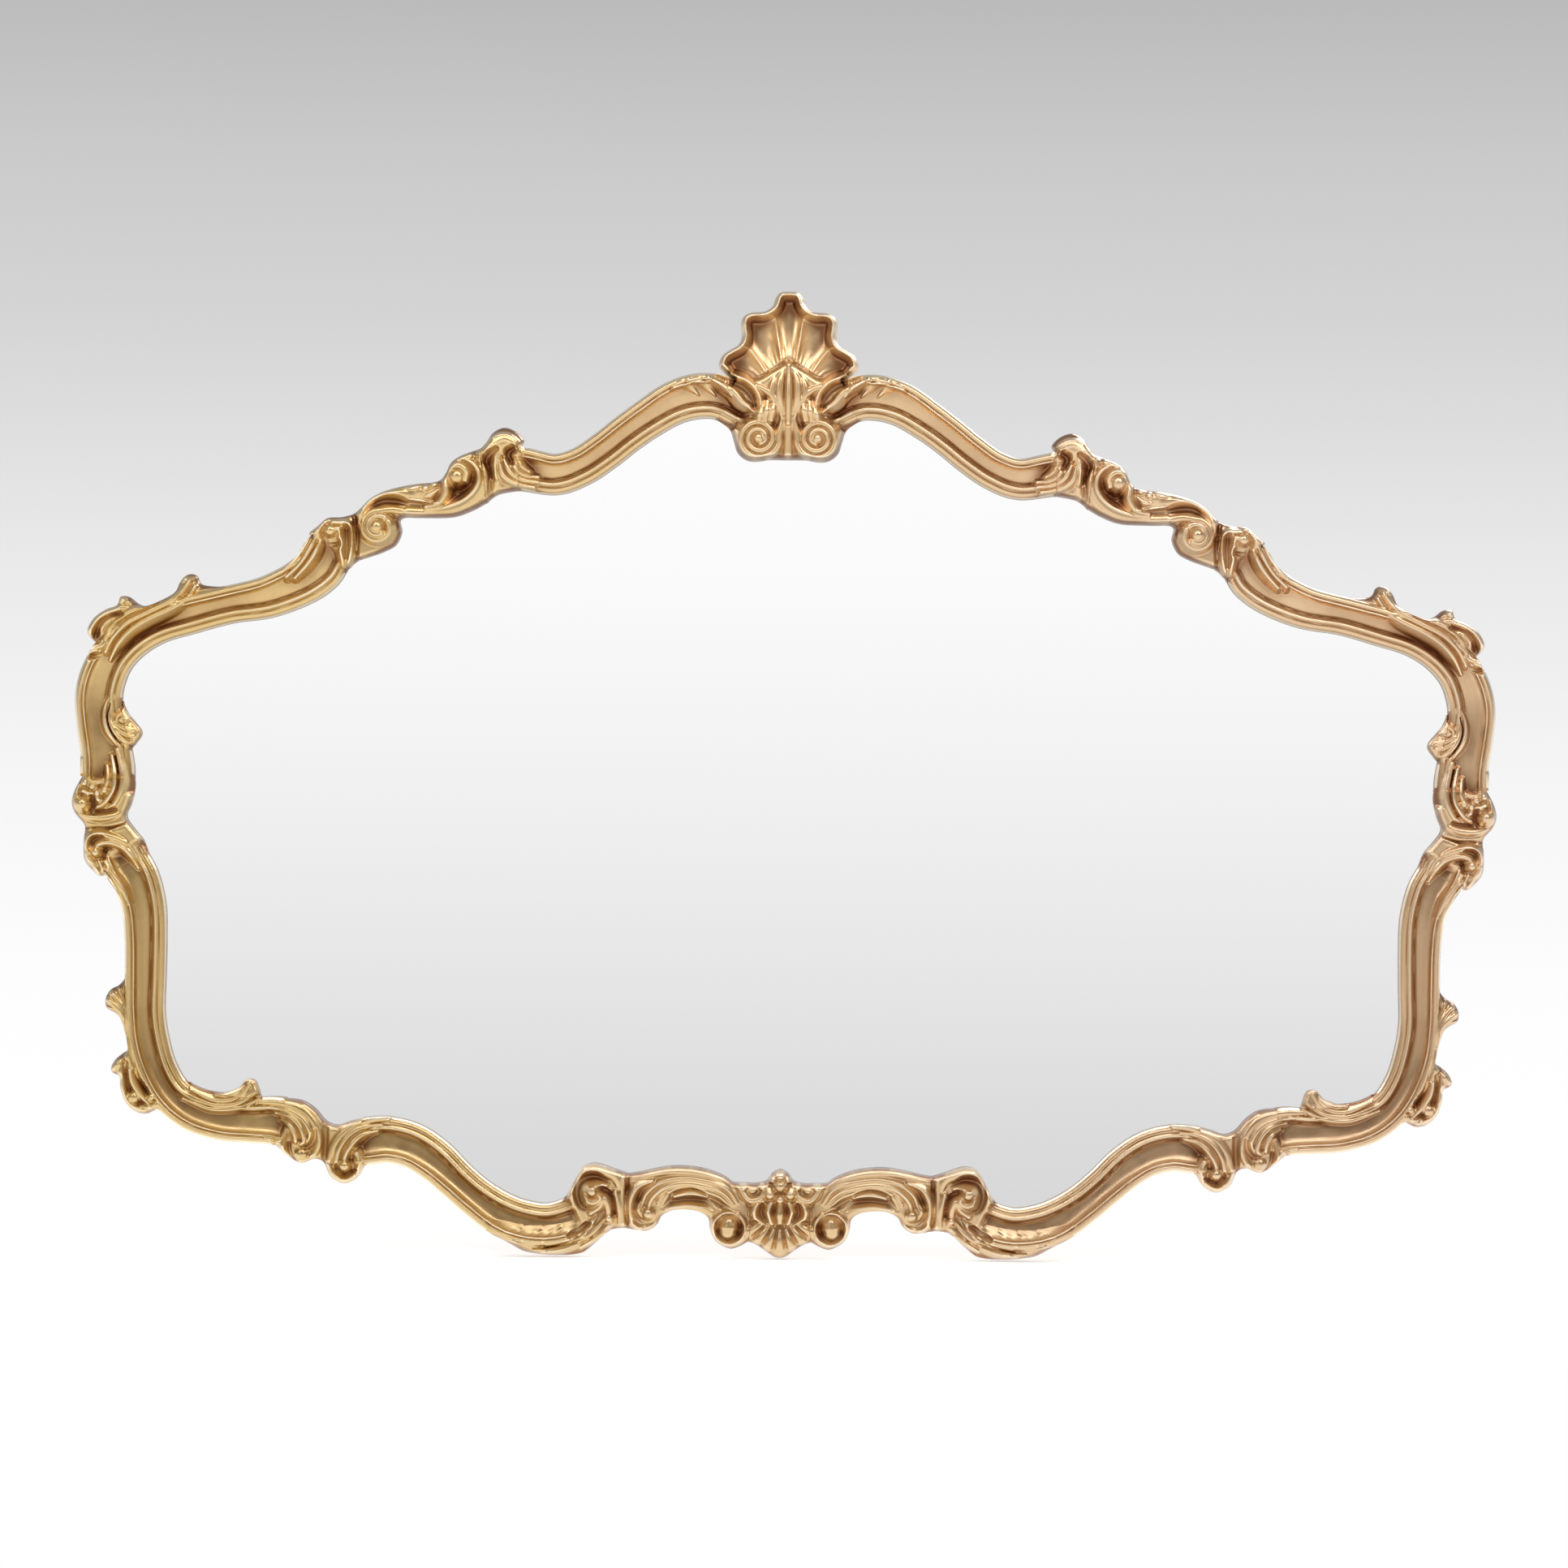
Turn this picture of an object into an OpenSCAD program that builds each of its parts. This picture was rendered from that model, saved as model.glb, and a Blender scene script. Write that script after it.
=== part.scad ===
// Overmantel mirror in a carved and gilded rococo frame.
// Millimetres. +X is right seen from the front, +Z is up, and the front faces -Y.
// The origin is on the wall plane, at the middle of the frame's width and height.
// Points given as [x, z] are for the right half; the left half is its mirror image.

/* [Overall] */
// Width of the frame over the side knuckles
frame_w = 1406; // [900:2:1800]
// Height of the frame from the keystone to the top of the shell
frame_h = 954; // [700:2:1200]

/* [Gilt moulding] */
// Width of the moulding where it is plainest
rail_w = 38; // [34:0.5:46]
// Height of the moulding's outer bead above the carcass
rail_h = 24; // [18:0.5:32]
// Thickness of the lip that laps over the glass
lip_t = 4; // [2.5:0.5:6]
// How far the lip laps past the carcass, over the glass
lip_lap = 8; // [6:0.5:9]
// How far the carcass stays inside the moulding's outer wall
side_inset = 3; // [2:0.5:5]

/* [Ornament] */
// Height of a knuckle's ground above the carcass
knuckle_h = 22; // [18:1:28]
// Height of a knuckle's raised folds above its ground
fold_h = 6; // [3:0.5:8]
// Height of the edge leaves above the carcass
leaf_h = 22; // [16:1:26]
// Width of a leaf's stem beside the moulding
stem_w = 2; // [1.5:0.5:3]
// Height of the crest shell's hollow above the carcass
shell_floor_h = 24; // [18:1:28]
// Height of the crest shell's rolled rim above the carcass
shell_rim_h = 37; // [32:1:42]
// Width of the crest shell's rolled rim
shell_rim_w = 7; // [5:0.5:9]

/* [Carcass] */
// Thickness of the carcass ring
carcass_t = 10; // [10:0.5:14]
// Radius of a lap screw's shank
lap_screw_r = 1.75; // [1.5:0.05:2]
// Radius of a lap screw's head
lap_head_r = 3.5; // [3:0.1:4]

/* [Glass and back] */
// Thickness of the mirror plate
glass_t = 4; // [3:0.5:5]
// How far the mirror plate goes in under the lip
glass_lap = 6; // [4:0.5:6]
// Clearance between the backing board and the carcass
board_gap = 0.5; // [0.3:0.1:1]

/* [Turn buttons] */
// Thickness of a turn button
button_t = 1.5; // [1:0.1:2]
// Width of a turn button
button_w = 10; // [8:0.5:12]
// How far a turn button laps over the backing board
button_lap = 8; // [6:0.5:10]
// Radius of a turn button's screw
button_screw_r = 1.7; // [1.5:0.05:2]
// Radius of the head of a turn button's screw
button_head_r = 3.4; // [3:0.1:3.8]

/* [Hanging] */
// Thickness of the wall bumpers, which is the gap behind the carcass
bumper_t = 8; // [7.5:0.5:12]
// Radius of a wall bumper
bumper_r = 9; // [7:0.5:10]
// Width of a strap hanger
strap_w = 12; // [10:0.5:14]
// Length of a strap hanger below its eye
strap_l = 44; // [40:1:56]
// Thickness of a strap hanger
strap_t = 1.2; // [1:0.1:1.5]
// Radius of the hanging ring's wire
wire_r = 1.6; // [1.3:0.1:1.8]
// Radius of the hanging ring's bow, to the middle of the wire
bow_r = 18; // [16:1:22]
// Radius of a hanger screw's shank
strap_screw_r = 1.75; // [1.5:0.05:2]
// Radius of a hanger screw's head
strap_head_r = 3.2; // [2.8:0.1:3.6]

/* [Fits] */
// Radial clearance of a turning fit
turn_gap = 0.08; // [0.05:0.01:0.1]
// Radial clearance of a screw in its pilot hole
pilot_gap = 0.05; // [0.03:0.01:0.1]
// Clearance between the hanging ring and the strap it lies over
ring_gap = 0.4; // [0.3:0.05:0.6]

/* [Hidden] */
$fn = 48;

gilt = [0.76, 0.6, 0.36];
gilt_light = [0.84, 0.7, 0.46];
silvered = [0.86, 0.88, 0.9];
plywood = [0.8, 0.68, 0.48];
hardboard = [0.45, 0.32, 0.2];
zinc = [0.68, 0.69, 0.7];
brass = [0.72, 0.58, 0.3];
cork = [0.72, 0.55, 0.36];
softwood = [0.85, 0.75, 0.56];

// The size that the spine's points and the outlines are drawn at
drawn_w = 1406;
drawn_h = 954;
sx = frame_w / drawn_w;
sz = frame_h / drawn_h;

// Depths behind the front, all measured forward from the wall
carcass_back = bumper_t;
gilt_back = bumper_t + carcass_t;
lap_plane = bumper_t + carcass_t / 2;
glass_back = gilt_back - glass_t;

// The frame's centre line as [x, z, width], from the top centre clockwise to the bottom
// centre, in stretches that the pieces share. A run carries a moulding, and its third number
// is the moulding's width above rail_w. A link lies under carved pieces, and its third number
// is the full width.
crest_link = [[0, 346, 40], [26, 350, 40]];
crest_run = [
    [62, 369, 4], [86, 373, 6], [112, 366, 4], [138, 350, 1], [160, 334, 0],
    [180, 318, 0], [204, 302, 0], [230, 294, 2], [264, 299, 4]
];
upper_link = [
    [290, 294, 42], [318, 278, 40], [345, 267, 36], [374, 264, 34], [402, 250, 36], [430, 231, 41]
];
shoulder_run = [
    [452, 213, 10], [461, 198, 9], [480, 184, 7], [512, 170, 3], [550, 162, -1],
    [588, 152, 0], [620, 142, 0], [645, 128, 2], [663, 110, 4], [673, 90, 6],
    [677, 68, 7], [674, 40, 8], [669, 16, 11], [667, -8, 13]
];
side_link = [[669, -34, 46], [663, -62, 42]];
side_run = [
    [647, -94, 7], [637, -112, 6], [630, -138, 4], [628, -170, 2], [628, -205, 1],
    [628, -240, 0], [624, -270, 1], [615, -298, 0], [600, -322, 0], [578, -337, 3],
    [550, -344, 6], [522, -346, 6], [494, -347, 9]
];
lower_link = [[468, -358, 42], [438, -368, 42]];
base_run = [
    [411, -366, 8], [386, -364, 7], [362, -370, 6], [340, -384, 4], [320, -402, 1],
    [300, -419, 1], [278, -434, 4], [256, -443, 5], [230, -446, 4], [205, -440, 5]
];
apron_link = [
    [178, -426, 44], [150, -421, 42], [122, -412, 42], [92, -408, 42], [62, -416, 42],
    [30, -428, 42], [0, -432, 42]
];

function run_width(stretch) = [for (p = stretch) [p[0], p[1], p[2] + rail_w]];
upper_half = concat(crest_link, run_width(crest_run), upper_link, run_width(shoulder_run));
lower_half = concat(side_link, run_width(side_run), lower_link, run_width(base_run), apron_link);
spine = [for (p = concat(upper_half, lower_half)) [p[0] * sx, p[1] * sz, p[2]]];
spine_end = len(spine) - 1;

// Places along the spine, counted in its points
crest_from = len(crest_link);
crest_to = crest_from + len(crest_run) - 1;
shoulder_from = crest_to + len(upper_link) + 1;
shoulder_to = shoulder_from + len(shoulder_run) - 1;
side_from = shoulder_to + len(side_link) + 1;
side_to = side_from + len(side_run) - 1;
base_from = side_to + len(lower_link) + 1;
base_to = base_from + len(base_run) - 1;

// Samples between two neighbouring points of the spine
spine_steps = 3;

// ---- Curves ----

// A point on the smooth curve through b and c, with neighbours a and d
function between(a, b, c, d, t) =
    (2 * b + (c - a) * t + (2 * a - 5 * b + 4 * c - d) * t * t + (3 * b - a - 3 * c + d) * t * t * t) / 2;

// The smooth open curve through a list of drawn points, scaled to the frame
function curve(pts, steps = 4) =
    let (p = [for (q = pts) [q[0] * sx, q[1] * sz]], last = len(p) - 1)
    concat(
        [
            for (i = [0 : last - 1], k = [0 : steps - 1])
                between(p[max(i - 1, 0)], p[i], p[i + 1], p[min(i + 2, last)], k / steps)
        ],
        [p[last]]
    );

// The spine's points go on past both ends as a mirror image
function spine_point(i) =
    let (q = spine[i < 0 ? -i : i > spine_end ? 2 * spine_end - i : i])
    (i < 0 || i > spine_end) ? [-q[0], q[1], q[2]] : q;

// Spine at a place u, as [x, z, width]
function spine_at(u) =
    let (i = floor(u))
    between(spine_point(i - 1), spine_point(i), spine_point(i + 1), spine_point(i + 2), u - i);

// Direction outwards, square to the spine
function outward_at(u) =
    let (d = spine_at(u + 0.01) - spine_at(u - 0.01), l = norm([d[0], d[1]]))
    [-d[1], d[0]] / l;

// A point beside the spine, d mm outwards
function beside(u, d) =
    let (p = spine_at(u))
    [p[0], p[1]] + outward_at(u) * d;

// Points beside the spine, measured from the moulding's outer or inner wall
function outer_wall(u, d = 0) = beside(u, spine_at(u)[2] / 2 + d);
function inner_wall(u, d = 0) = beside(u, d - spine_at(u)[2] / 2);

// Sample places from a to b, in either direction
function places(a, b) =
    let (n = round(abs(b - a) * spine_steps))
    [for (k = [0 : n]) a + (b - a) * k / n];

function outer_line(a, b, d = 0) = [for (u = places(a, b)) outer_wall(u, d)];
function inner_line(a, b, d = 0) = [for (u = places(a, b)) inner_wall(u, d)];
function flipped(pts) = [for (p = pts) [-p[0], p[1]]];
function backwards(pts) = [for (i = [len(pts) - 1 : -1 : 0]) pts[i]];

// ---- Shapes ----

// A flat piece from an [x, z] outline, between two depths in front of the wall
module slab(outline, back, front) {
    rotate([90, 0, 0]) translate([0, 0, back]) linear_extrude(front - back) polygon(outline);
}

// A round bar along Y at [x, z], between two depths in front of the wall
module bar(at, r, back, front, r2 = -1) {
    translate([at[0], -back, at[1]]) rotate([90, 0, 0])
        cylinder(h = front - back, r1 = r, r2 = r2 < 0 ? r : r2);
}

// A turned boss: a raised ring, a sunk channel and a round eye in the middle
module scroll_boss(at, r, back, h) {
    ring = [
        [0, 0], [r, 0], [r, h * 0.45], [r * 0.9, h * 0.75], [r * 0.76, h * 0.75],
        [r * 0.62, h * 0.35], [r * 0.48, h * 0.35], [r * 0.42, h * 0.7], [r * 0.26, h], [0, h]
    ];
    translate([at[0] * sx, -back, at[1] * sz]) rotate([90, 0, 0]) rotate_extrude() polygon(ring);
}

module left_and_right() {
    children();
    mirror([1, 0, 0]) children();
}

module left() {
    mirror([1, 0, 0]) children();
}

// ---- Gilt moulding ----

// Widths of the slope beside the glass, of the small bead above it and of the outer bead
slope_w = 9;
sight_bead_w = 7;
outer_bead_w = 9.5;

// The moulding's section as [place across it, height], for a moulding of width w: the slope,
// the small bead, the cove between the beads and the outer bead
function section(w) =
    let (h = w / 2, bead = slope_w - h, cove = bead + sight_bead_w, crown = h - outer_bead_w)
    [
        [-h, 0], [-h, lip_t],
        [bead, rail_h * 0.42], [bead + 2, rail_h * 0.56], [bead + 5, rail_h * 0.58],
        [cove, rail_h * 0.46], [cove + 5, rail_h * 0.4], [crown - 4.5, rail_h * 0.52],
        [crown, rail_h * 0.74], [crown + 1.5, rail_h * 0.93], [crown + 4, rail_h],
        [h - 2, rail_h * 0.92], [h, rail_h * 0.74], [h, 0]
    ];

function section_at(u) =
    let (p = spine_at(u), n = outward_at(u))
    [for (q = section(p[2])) [p[0] + n[0] * q[0], -gilt_back - q[1], p[1] + n[1] * q[0]]];

// The moulding swept along the spine from place a to place b, with square ends
module moulding(a, b) {
    rings = [for (u = places(a, b)) section_at(u)];
    m = len(rings[0]);
    last = len(rings) - 1;
    walls = [
        for (i = [0 : last - 1], j = [0 : m - 1])
            let (k = (j + 1) % m)
            each [
                [i * m + j, (i + 1) * m + j, (i + 1) * m + k],
                [i * m + j, (i + 1) * m + k, i * m + k]
            ]
    ];
    near_end = [for (j = [0 : m - 1]) j];
    far_end = [for (j = [m - 1 : -1 : 0]) last * m + j];
    polyhedron(points = [for (r = rings) each r], faces = concat([near_end], walls, [far_end]));
}

module crest_rail() { color(gilt) moulding(crest_from, crest_to); }
module shoulder_rail() { color(gilt) moulding(shoulder_from, shoulder_to); }
module side_rail() { color(gilt) moulding(side_from, side_to); }
module base_rail() { color(gilt) moulding(base_from, base_to); }

// ---- Knuckles and scrolls ----

// Joints between carved pieces that have no moulding between them, as [x, z] lines
upper_neck = [[303, 319], [296, 266]];
shoulder_neck = [[428, 253], [424, 207]];
apron_neck = [[150, -395], [150, -449]];
keystone_joint = [[46, -403], [40, -416], [31, -426], [29, -444], [31, -461]];

function drawn(p) = [p[0] * sx, p[1] * sz];

// Rail ends in drawn coordinates, so that a curve can start at them
function undrawn(p) = [p[0] / sx, p[1] / sz];

// Drawn points beside a wall, from marks: each [place past the run's first point, distance
// out from the outer wall] or [place, distance in from the inner wall]
function out_marks(run_from, marks) = [for (m = marks) undrawn(outer_wall(run_from + m[0], m[1]))];
function in_marks(run_from, marks) = [for (m = marks) undrawn(inner_wall(run_from + m[0], -m[1]))];

crest_end_out = undrawn(outer_wall(crest_to));
crest_end_in = undrawn(inner_wall(crest_to));
shoulder_start_out = undrawn(outer_wall(shoulder_from));
shoulder_start_in = undrawn(inner_wall(shoulder_from));
shoulder_end_out = undrawn(outer_wall(shoulder_to));
shoulder_end_in = undrawn(inner_wall(shoulder_to));
side_start_out = undrawn(outer_wall(side_from));
side_start_in = undrawn(inner_wall(side_from));
side_end_out = undrawn(outer_wall(side_to));
side_end_in = undrawn(inner_wall(side_to));
base_start_out = undrawn(outer_wall(base_from));
base_start_in = undrawn(inner_wall(base_from));
base_end_out = undrawn(outer_wall(base_to));
base_end_in = undrawn(inner_wall(base_to));
crest_start_out = undrawn(outer_wall(crest_from));
crest_start_in = undrawn(inner_wall(crest_from));

knuckle_front = gilt_back + knuckle_h;
fold_front = knuckle_front + fold_h;

// Knob and curled folds where the crest moulding ends
module upper_knuckle() {
    outer = curve([crest_end_out, [260, 327], [268, 336], [280, 340], [291, 335], [297, 326], upper_neck[0]]);
    inner = curve([upper_neck[1], [285, 274], crest_end_in]);
    folds = curve([
        [272, 300], [268, 318], [280, 330], [293, 320], [294, 302], [284, 284], [278, 290], [272, 300]
    ]);
    color(gilt_light) {
        slab(concat(outer, inner), gilt_back, knuckle_front);
        slab(folds, knuckle_front, fold_front);
    }
}

// Two C-scrolls in one piece, the upper with a deep hollow, the lower turned in over the glass
module upper_scroll() {
    outer = curve([
        upper_neck[0], [320, 313], [332, 305], [338, 293], [346, 286], [370, 283],
        [395, 277], [411, 269], [421, 259], shoulder_neck[0]
    ]);
    inner = curve([
        shoulder_neck[1], [412, 211], [398, 216], [386, 223], [380, 236], [381, 249], [360, 250],
        [330, 251], [310, 258], upper_neck[1]
    ]);
    sweep_fold = curve([
        [306, 290], [314, 268], [340, 256], [376, 256], [340, 262], [320, 274], [312, 292], [306, 290]
    ]);
    color(gilt_light) {
        slab(concat(outer, inner), gilt_back, knuckle_front);
        slab(sweep_fold, knuckle_front, fold_front);
        scroll_boss([325, 292], 13, knuckle_front, fold_h);
        scroll_boss([402, 241], 18, knuckle_front, fold_h + 2);
    }
}

// Small knob with a leaf that runs down on to the shoulder moulding
module shoulder_knuckle() {
    knob = out_marks(shoulder_from, [[-0.75, 7], [-0.37, 5], [-0.05, 4.5]]);
    outer = curve(concat([shoulder_neck[0], [440, 250]], knob, [shoulder_start_out]));
    inner = curve([shoulder_start_in, shoulder_neck[1]]);
    color(gilt_light) {
        slab(concat(outer, inner), gilt_back, knuckle_front);
        scroll_boss([446, 236], 9, knuckle_front, fold_h);
    }
}

// Curled scroll and leaf folds, a ringed neck and a second scroll
module side_knuckle() {
    outer = curve([
        shoulder_end_out, [700, -22], [703, -35], [699, -46], [690, -57], [691, -72],
        [690, -90], [682, -101], [674, -107], side_start_out
    ]);
    inner = curve([
        side_start_in, [632, -71], [641, -60], [649, -48], [645, -36], [641, -20], shoulder_end_in
    ]);
    upper_fold = curve([[654, -12], [652, -30], [664, -44], [686, -48], [664, -36], [660, -20], [654, -12]]);
    lower_fold = curve([
        [650, -78], [662, -66], [682, -68], [688, -82], [678, -96],
        [684, -80], [676, -74], [662, -76], [650, -78]
    ]);
    color(gilt_light) {
        slab(concat(outer, inner), gilt_back, knuckle_front);
        slab(upper_fold, knuckle_front, fold_front);
        slab(lower_fold, knuckle_front, fold_front);
        scroll_boss([690, -37], 10, knuckle_front, fold_h + 1);
    }
}

// Leaf folds over a hanging curl, twice, between the side and base mouldings
module lower_knuckle() {
    outer = curve([
        side_end_out, [486, -381], [473, -388], [460, -384], [451, -387], [444, -401],
        [430, -408], [417, -402], base_start_out
    ]);
    inner = curve([
        base_start_in, [425, -346], [438, -350], [449, -346], [460, -334], [473, -326], side_end_in
    ]);
    right_fold = curve([
        [488, -345], [474, -346], [462, -362], [464, -376], [474, -380], [484, -372], [478, -358], [488, -345]
    ]);
    left_fold = curve([
        [416, -356], [430, -366], [436, -380], [430, -396], [440, -398], [446, -380], [438, -362], [416, -356]
    ]);
    color(gilt_light) {
        slab(concat(outer, inner), gilt_back, knuckle_front);
        slab(right_fold, knuckle_front, fold_front);
        slab(left_fold, knuckle_front, fold_front);
    }
}

// The lower edge of the base knuckle, the first part of which it shares with the base leaf
knuckle_underside = out_marks(base_from, [[9.35, 3], [10.1, 5]]);
knuckle_edge = curve(concat([base_end_out], knuckle_underside, [[158, -449], apron_neck[1]]));

// Ringed scroll between the base moulding and the apron
module base_knuckle() {
    inner = curve([apron_neck[0], [165, -390], [182, -385], [195, -389], [203, -402], base_end_in]);
    color(gilt_light) {
        slab(concat(knuckle_edge, inner), gilt_back, knuckle_front);
        scroll_boss([183, -414], 19, knuckle_front, fold_h + 3);
        scroll_boss([171, -436], 8, knuckle_front, fold_h);
    }
}

// Arched apron band that ends in a volute beside the keystone
module apron_arch() {
    outer = curve([
        apron_neck[1], [140, -451], [130, -451], [121, -445], [116, -436], [106, -431],
        [94, -430], [80, -432], [71, -438], [69, -450], [63, -461], [50, -468], [40, -466],
        keystone_joint[4]
    ]);
    joint = [for (i = [3 : -1 : 1]) drawn(keystone_joint[i])];
    inner = curve([
        keystone_joint[0], [56, -396], [72, -390], [90, -387], [108, -387], [125, -390],
        [138, -393], apron_neck[0]
    ]);
    band = curve([
        [44, -430], [60, -412], [84, -402], [112, -402], [134, -416],
        [128, -424], [108, -412], [84, -411], [64, -420], [44, -430]
    ]);
    color(gilt_light) {
        slab(concat(outer, joint, inner), gilt_back, knuckle_front);
        slab(band, knuckle_front, fold_front);
        scroll_boss([50, -448], 15, knuckle_front, fold_h + 3);
        scroll_boss([135, -438], 8, knuckle_front, fold_h);
    }
}

// ---- Edge leaves ----

// A leaf beside the outer wall between two places, with its silhouette as marks
module outer_leaf(run_from, a, b, marks) {
    silhouette = out_marks(run_from, marks);
    ends = [undrawn(outer_wall(a)), undrawn(outer_wall(b))];
    front = gilt_back + leaf_h;
    color(gilt_light)
        slab(concat(curve(concat([ends[0]], silhouette, [ends[1]])), outer_line(b, a)), gilt_back, front);
}

// The same beside the inner wall, over the glass
module inner_leaf(run_from, a, b, marks) {
    silhouette = in_marks(run_from, marks);
    ends = [undrawn(inner_wall(a)), undrawn(inner_wall(b))];
    front = gilt_back + leaf_h - fold_h;
    color(gilt_light)
        slab(concat(curve(concat([ends[0]], silhouette, [ends[1]])), inner_line(b, a)), gilt_back, front);
}

module shoulder_leaf() {
    outer_leaf(shoulder_from, shoulder_from + 4, shoulder_from + 8, [
        [4.5, 7], [4.57, 16], [4.7, 20], [4.88, 19], [5.05, 14], [5.3, 5.5],
        [6, stem_w], [6.25, 6.5], [6.4, 17], [6.6, 21.5], [6.8, 16], [7.1, 18.5],
        [7.5, 19.5], [7.9, 14.5]
    ]);
}

module corner_leaf() {
    outer_leaf(side_from, side_from + 4, side_from + 8, [
        [4.25, 6.5], [4.4, 15.5], [4.65, 20.5], [4.87, 19], [5, 11], [5.2, 5.5],
        [6, stem_w], [6.15, 8.5], [6.27, 17], [6.45, 23.5], [6.6, 23.5], [6.75, 18.5],
        [7, 22], [7.35, 24], [7.65, 22], [7.9, 14]
    ]);
}

module sight_leaf() {
    inner_leaf(shoulder_from, shoulder_from + 10, shoulder_from + 12, [
        [10.6, 4], [10.95, 9.5], [11.4, 13.5], [11.65, 12.5], [11.85, 6]
    ]);
}

module corner_curl() {
    inner_leaf(side_from, side_from + 8, side_from + 11 + 1 / spine_steps, [
        [9, stem_w], [9.8, 2.5], [10.1, 5.5], [10.45, 9.5], [10.75, 18], [11.1, 16]
    ]);
}

// Its tip lies under the base knuckle, along the knuckle's edge as far as the end of the moulding
module base_leaf() {
    a = base_from + 6;
    silhouette = out_marks(base_from, [[7, 4], [7.5, 7.5], [8.2, 10], [8.8, 13.3], [9.1, 12]]);
    shared = [for (i = [7 : -1 : 1]) knuckle_edge[i]];
    outline = concat(curve(concat([undrawn(outer_wall(a))], silhouette, [knuckle_underside[1]])), shared);
    color(gilt_light) slab(concat(outline, outer_line(base_to, a)), gilt_back, gilt_back + leaf_h);
}

// ---- Crest shell and keystone ----

shell_side = [
    [0, 477], [9, 476], [14, 470], [17, 462], [25, 457], [37, 456], [45, 452], [48, 444],
    [47, 432], [50, 424], [58, 419], [65, 414], [69, 406], [68, 399]
];
shell_foot = [[58, 341], [54, 330], [50, 318], [42, 311], [32, 309], [18, 311], [0, 311]];

shell_ribs = [
    [[5, 400], [13, 404], [38, 444], [33, 448]],
    [[16, 398], [22, 396], [58, 408], [56, 412]]
];
shell_keel = [[-5, 396], [5, 396], [3, 330], [-3, 330]];

module crest_shell() {
    side = curve(concat(shell_side, [crest_start_out]));
    foot = curve(concat([crest_start_in], shell_foot));
    half = concat(side, foot);
    rim = curve(shell_side);
    fan_centre = drawn([0, 400]);
    inset = [for (p = rim) p + (fan_centre - p) * shell_rim_w / norm(fan_centre - p)];
    floor_front = gilt_back + shell_floor_h;
    rim_front = gilt_back + shell_rim_h;
    color(gilt_light) {
        slab(concat(half, backwards(flipped(half))), gilt_back, floor_front);
        slab(concat(rim, backwards(inset), flipped(inset), backwards(flipped(rim))), floor_front, rim_front);
        left_and_right() {
            for (rib = shell_ribs) slab([for (p = rib) drawn(p)], floor_front, rim_front - fold_h);
            scroll_boss([29, 333], 20, floor_front, rim_front - floor_front - 2);
        }
        slab([for (p = shell_keel) drawn(p)], floor_front, rim_front);
    }
}

module apron_keystone() {
    side = curve([[0, -389], [8, -393], [13, -400], [22, -403], [34, -403], keystone_joint[0]]);
    joint = [for (i = [1 : 3]) drawn(keystone_joint[i])];
    foot = curve([keystone_joint[4], [23, -464], [14, -470], [6, -475.5], [0, -477]]);
    half = concat(side, joint, foot);
    color(gilt_light) {
        slab(concat(half, backwards(flipped(half))), gilt_back, knuckle_front);
        left_and_right() scroll_boss([13, -421], 8, knuckle_front, fold_h + 3);
        slab(
            curve([[-16, -446], [16, -446], [20, -462], [0, -472], [-20, -462], [-16, -446]]),
            knuckle_front, fold_front
        );
    }
}

// ---- Carcass ----

// Joints of the ring, and half the length of a lap, counted in the spine's points
top_lap_at = crest_from + 5;
side_lap_at = side_from + 2;
base_lap_at = base_from + 5;
half_lap = 2 / spine_steps;

function ring_band(a, b) =
    concat(
        [for (u = places(a, b)) outer_wall(u, -side_inset)],
        [for (u = places(b, a)) inner_wall(u, lip_lap)]
    );

// A stretch of the ring: a back layer and a front layer that end a lap apart
module ring_piece(back_from, back_to, front_from, front_to) {
    slab(ring_band(back_from, back_to), carcass_back, lap_plane);
    slab(ring_band(front_from, front_to), lap_plane, gilt_back);
}

// Two screws in each lap, side by side along it
lap_places = [
    for (at = [top_lap_at, side_lap_at, base_lap_at], s = [-1, 1])
        ring_middle(at + s * half_lap / 2)
];

function ring_middle(u) = beside(u, (lip_lap - side_inset) / 2);
lap_head_h = 1.6;
lap_screw_l = carcass_t - 1;

module lap_holes() {
    for (p = lap_places) {
        bar(p, lap_head_r + pilot_gap, carcass_back, carcass_back + lap_head_h, lap_screw_r + pilot_gap);
        bar(p, lap_screw_r + pilot_gap, carcass_back, carcass_back + lap_screw_l);
    }
}

module lap_screws() {
    color(zinc) left_and_right() for (p = lap_places) {
        bar(p, lap_head_r, carcass_back, carcass_back + lap_head_h, lap_screw_r);
        bar(p, lap_screw_r, carcass_back, carcass_back + lap_screw_l);
    }
}

// Pilot holes for everything that is screwed to the ring's back
module back_holes() {
    for (p = button_places)
        bar(p[0], button_screw_r + pilot_gap, carcass_back - 1, carcass_back + button_screw_l);
    for (z = strap_hole_z)
        bar([hanger_at[0], z], strap_screw_r + pilot_gap, carcass_back - 1, carcass_back + strap_screw_l);
}

module carcass_top() {
    color(plywood) difference() {
        ring_piece(
            -top_lap_at + half_lap, top_lap_at - half_lap,
            -top_lap_at - half_lap, top_lap_at + half_lap
        );
        left_and_right() lap_holes();
        left_and_right() back_holes();
    }
}

module carcass_upper() {
    color(plywood) difference() {
        ring_piece(
            top_lap_at - half_lap, side_lap_at + half_lap,
            top_lap_at + half_lap, side_lap_at - half_lap
        );
        lap_holes();
        back_holes();
    }
}

module carcass_lower() {
    color(plywood) difference() {
        ring_piece(
            side_lap_at + half_lap, base_lap_at - half_lap,
            side_lap_at - half_lap, base_lap_at + half_lap
        );
        lap_holes();
        back_holes();
    }
}

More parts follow.
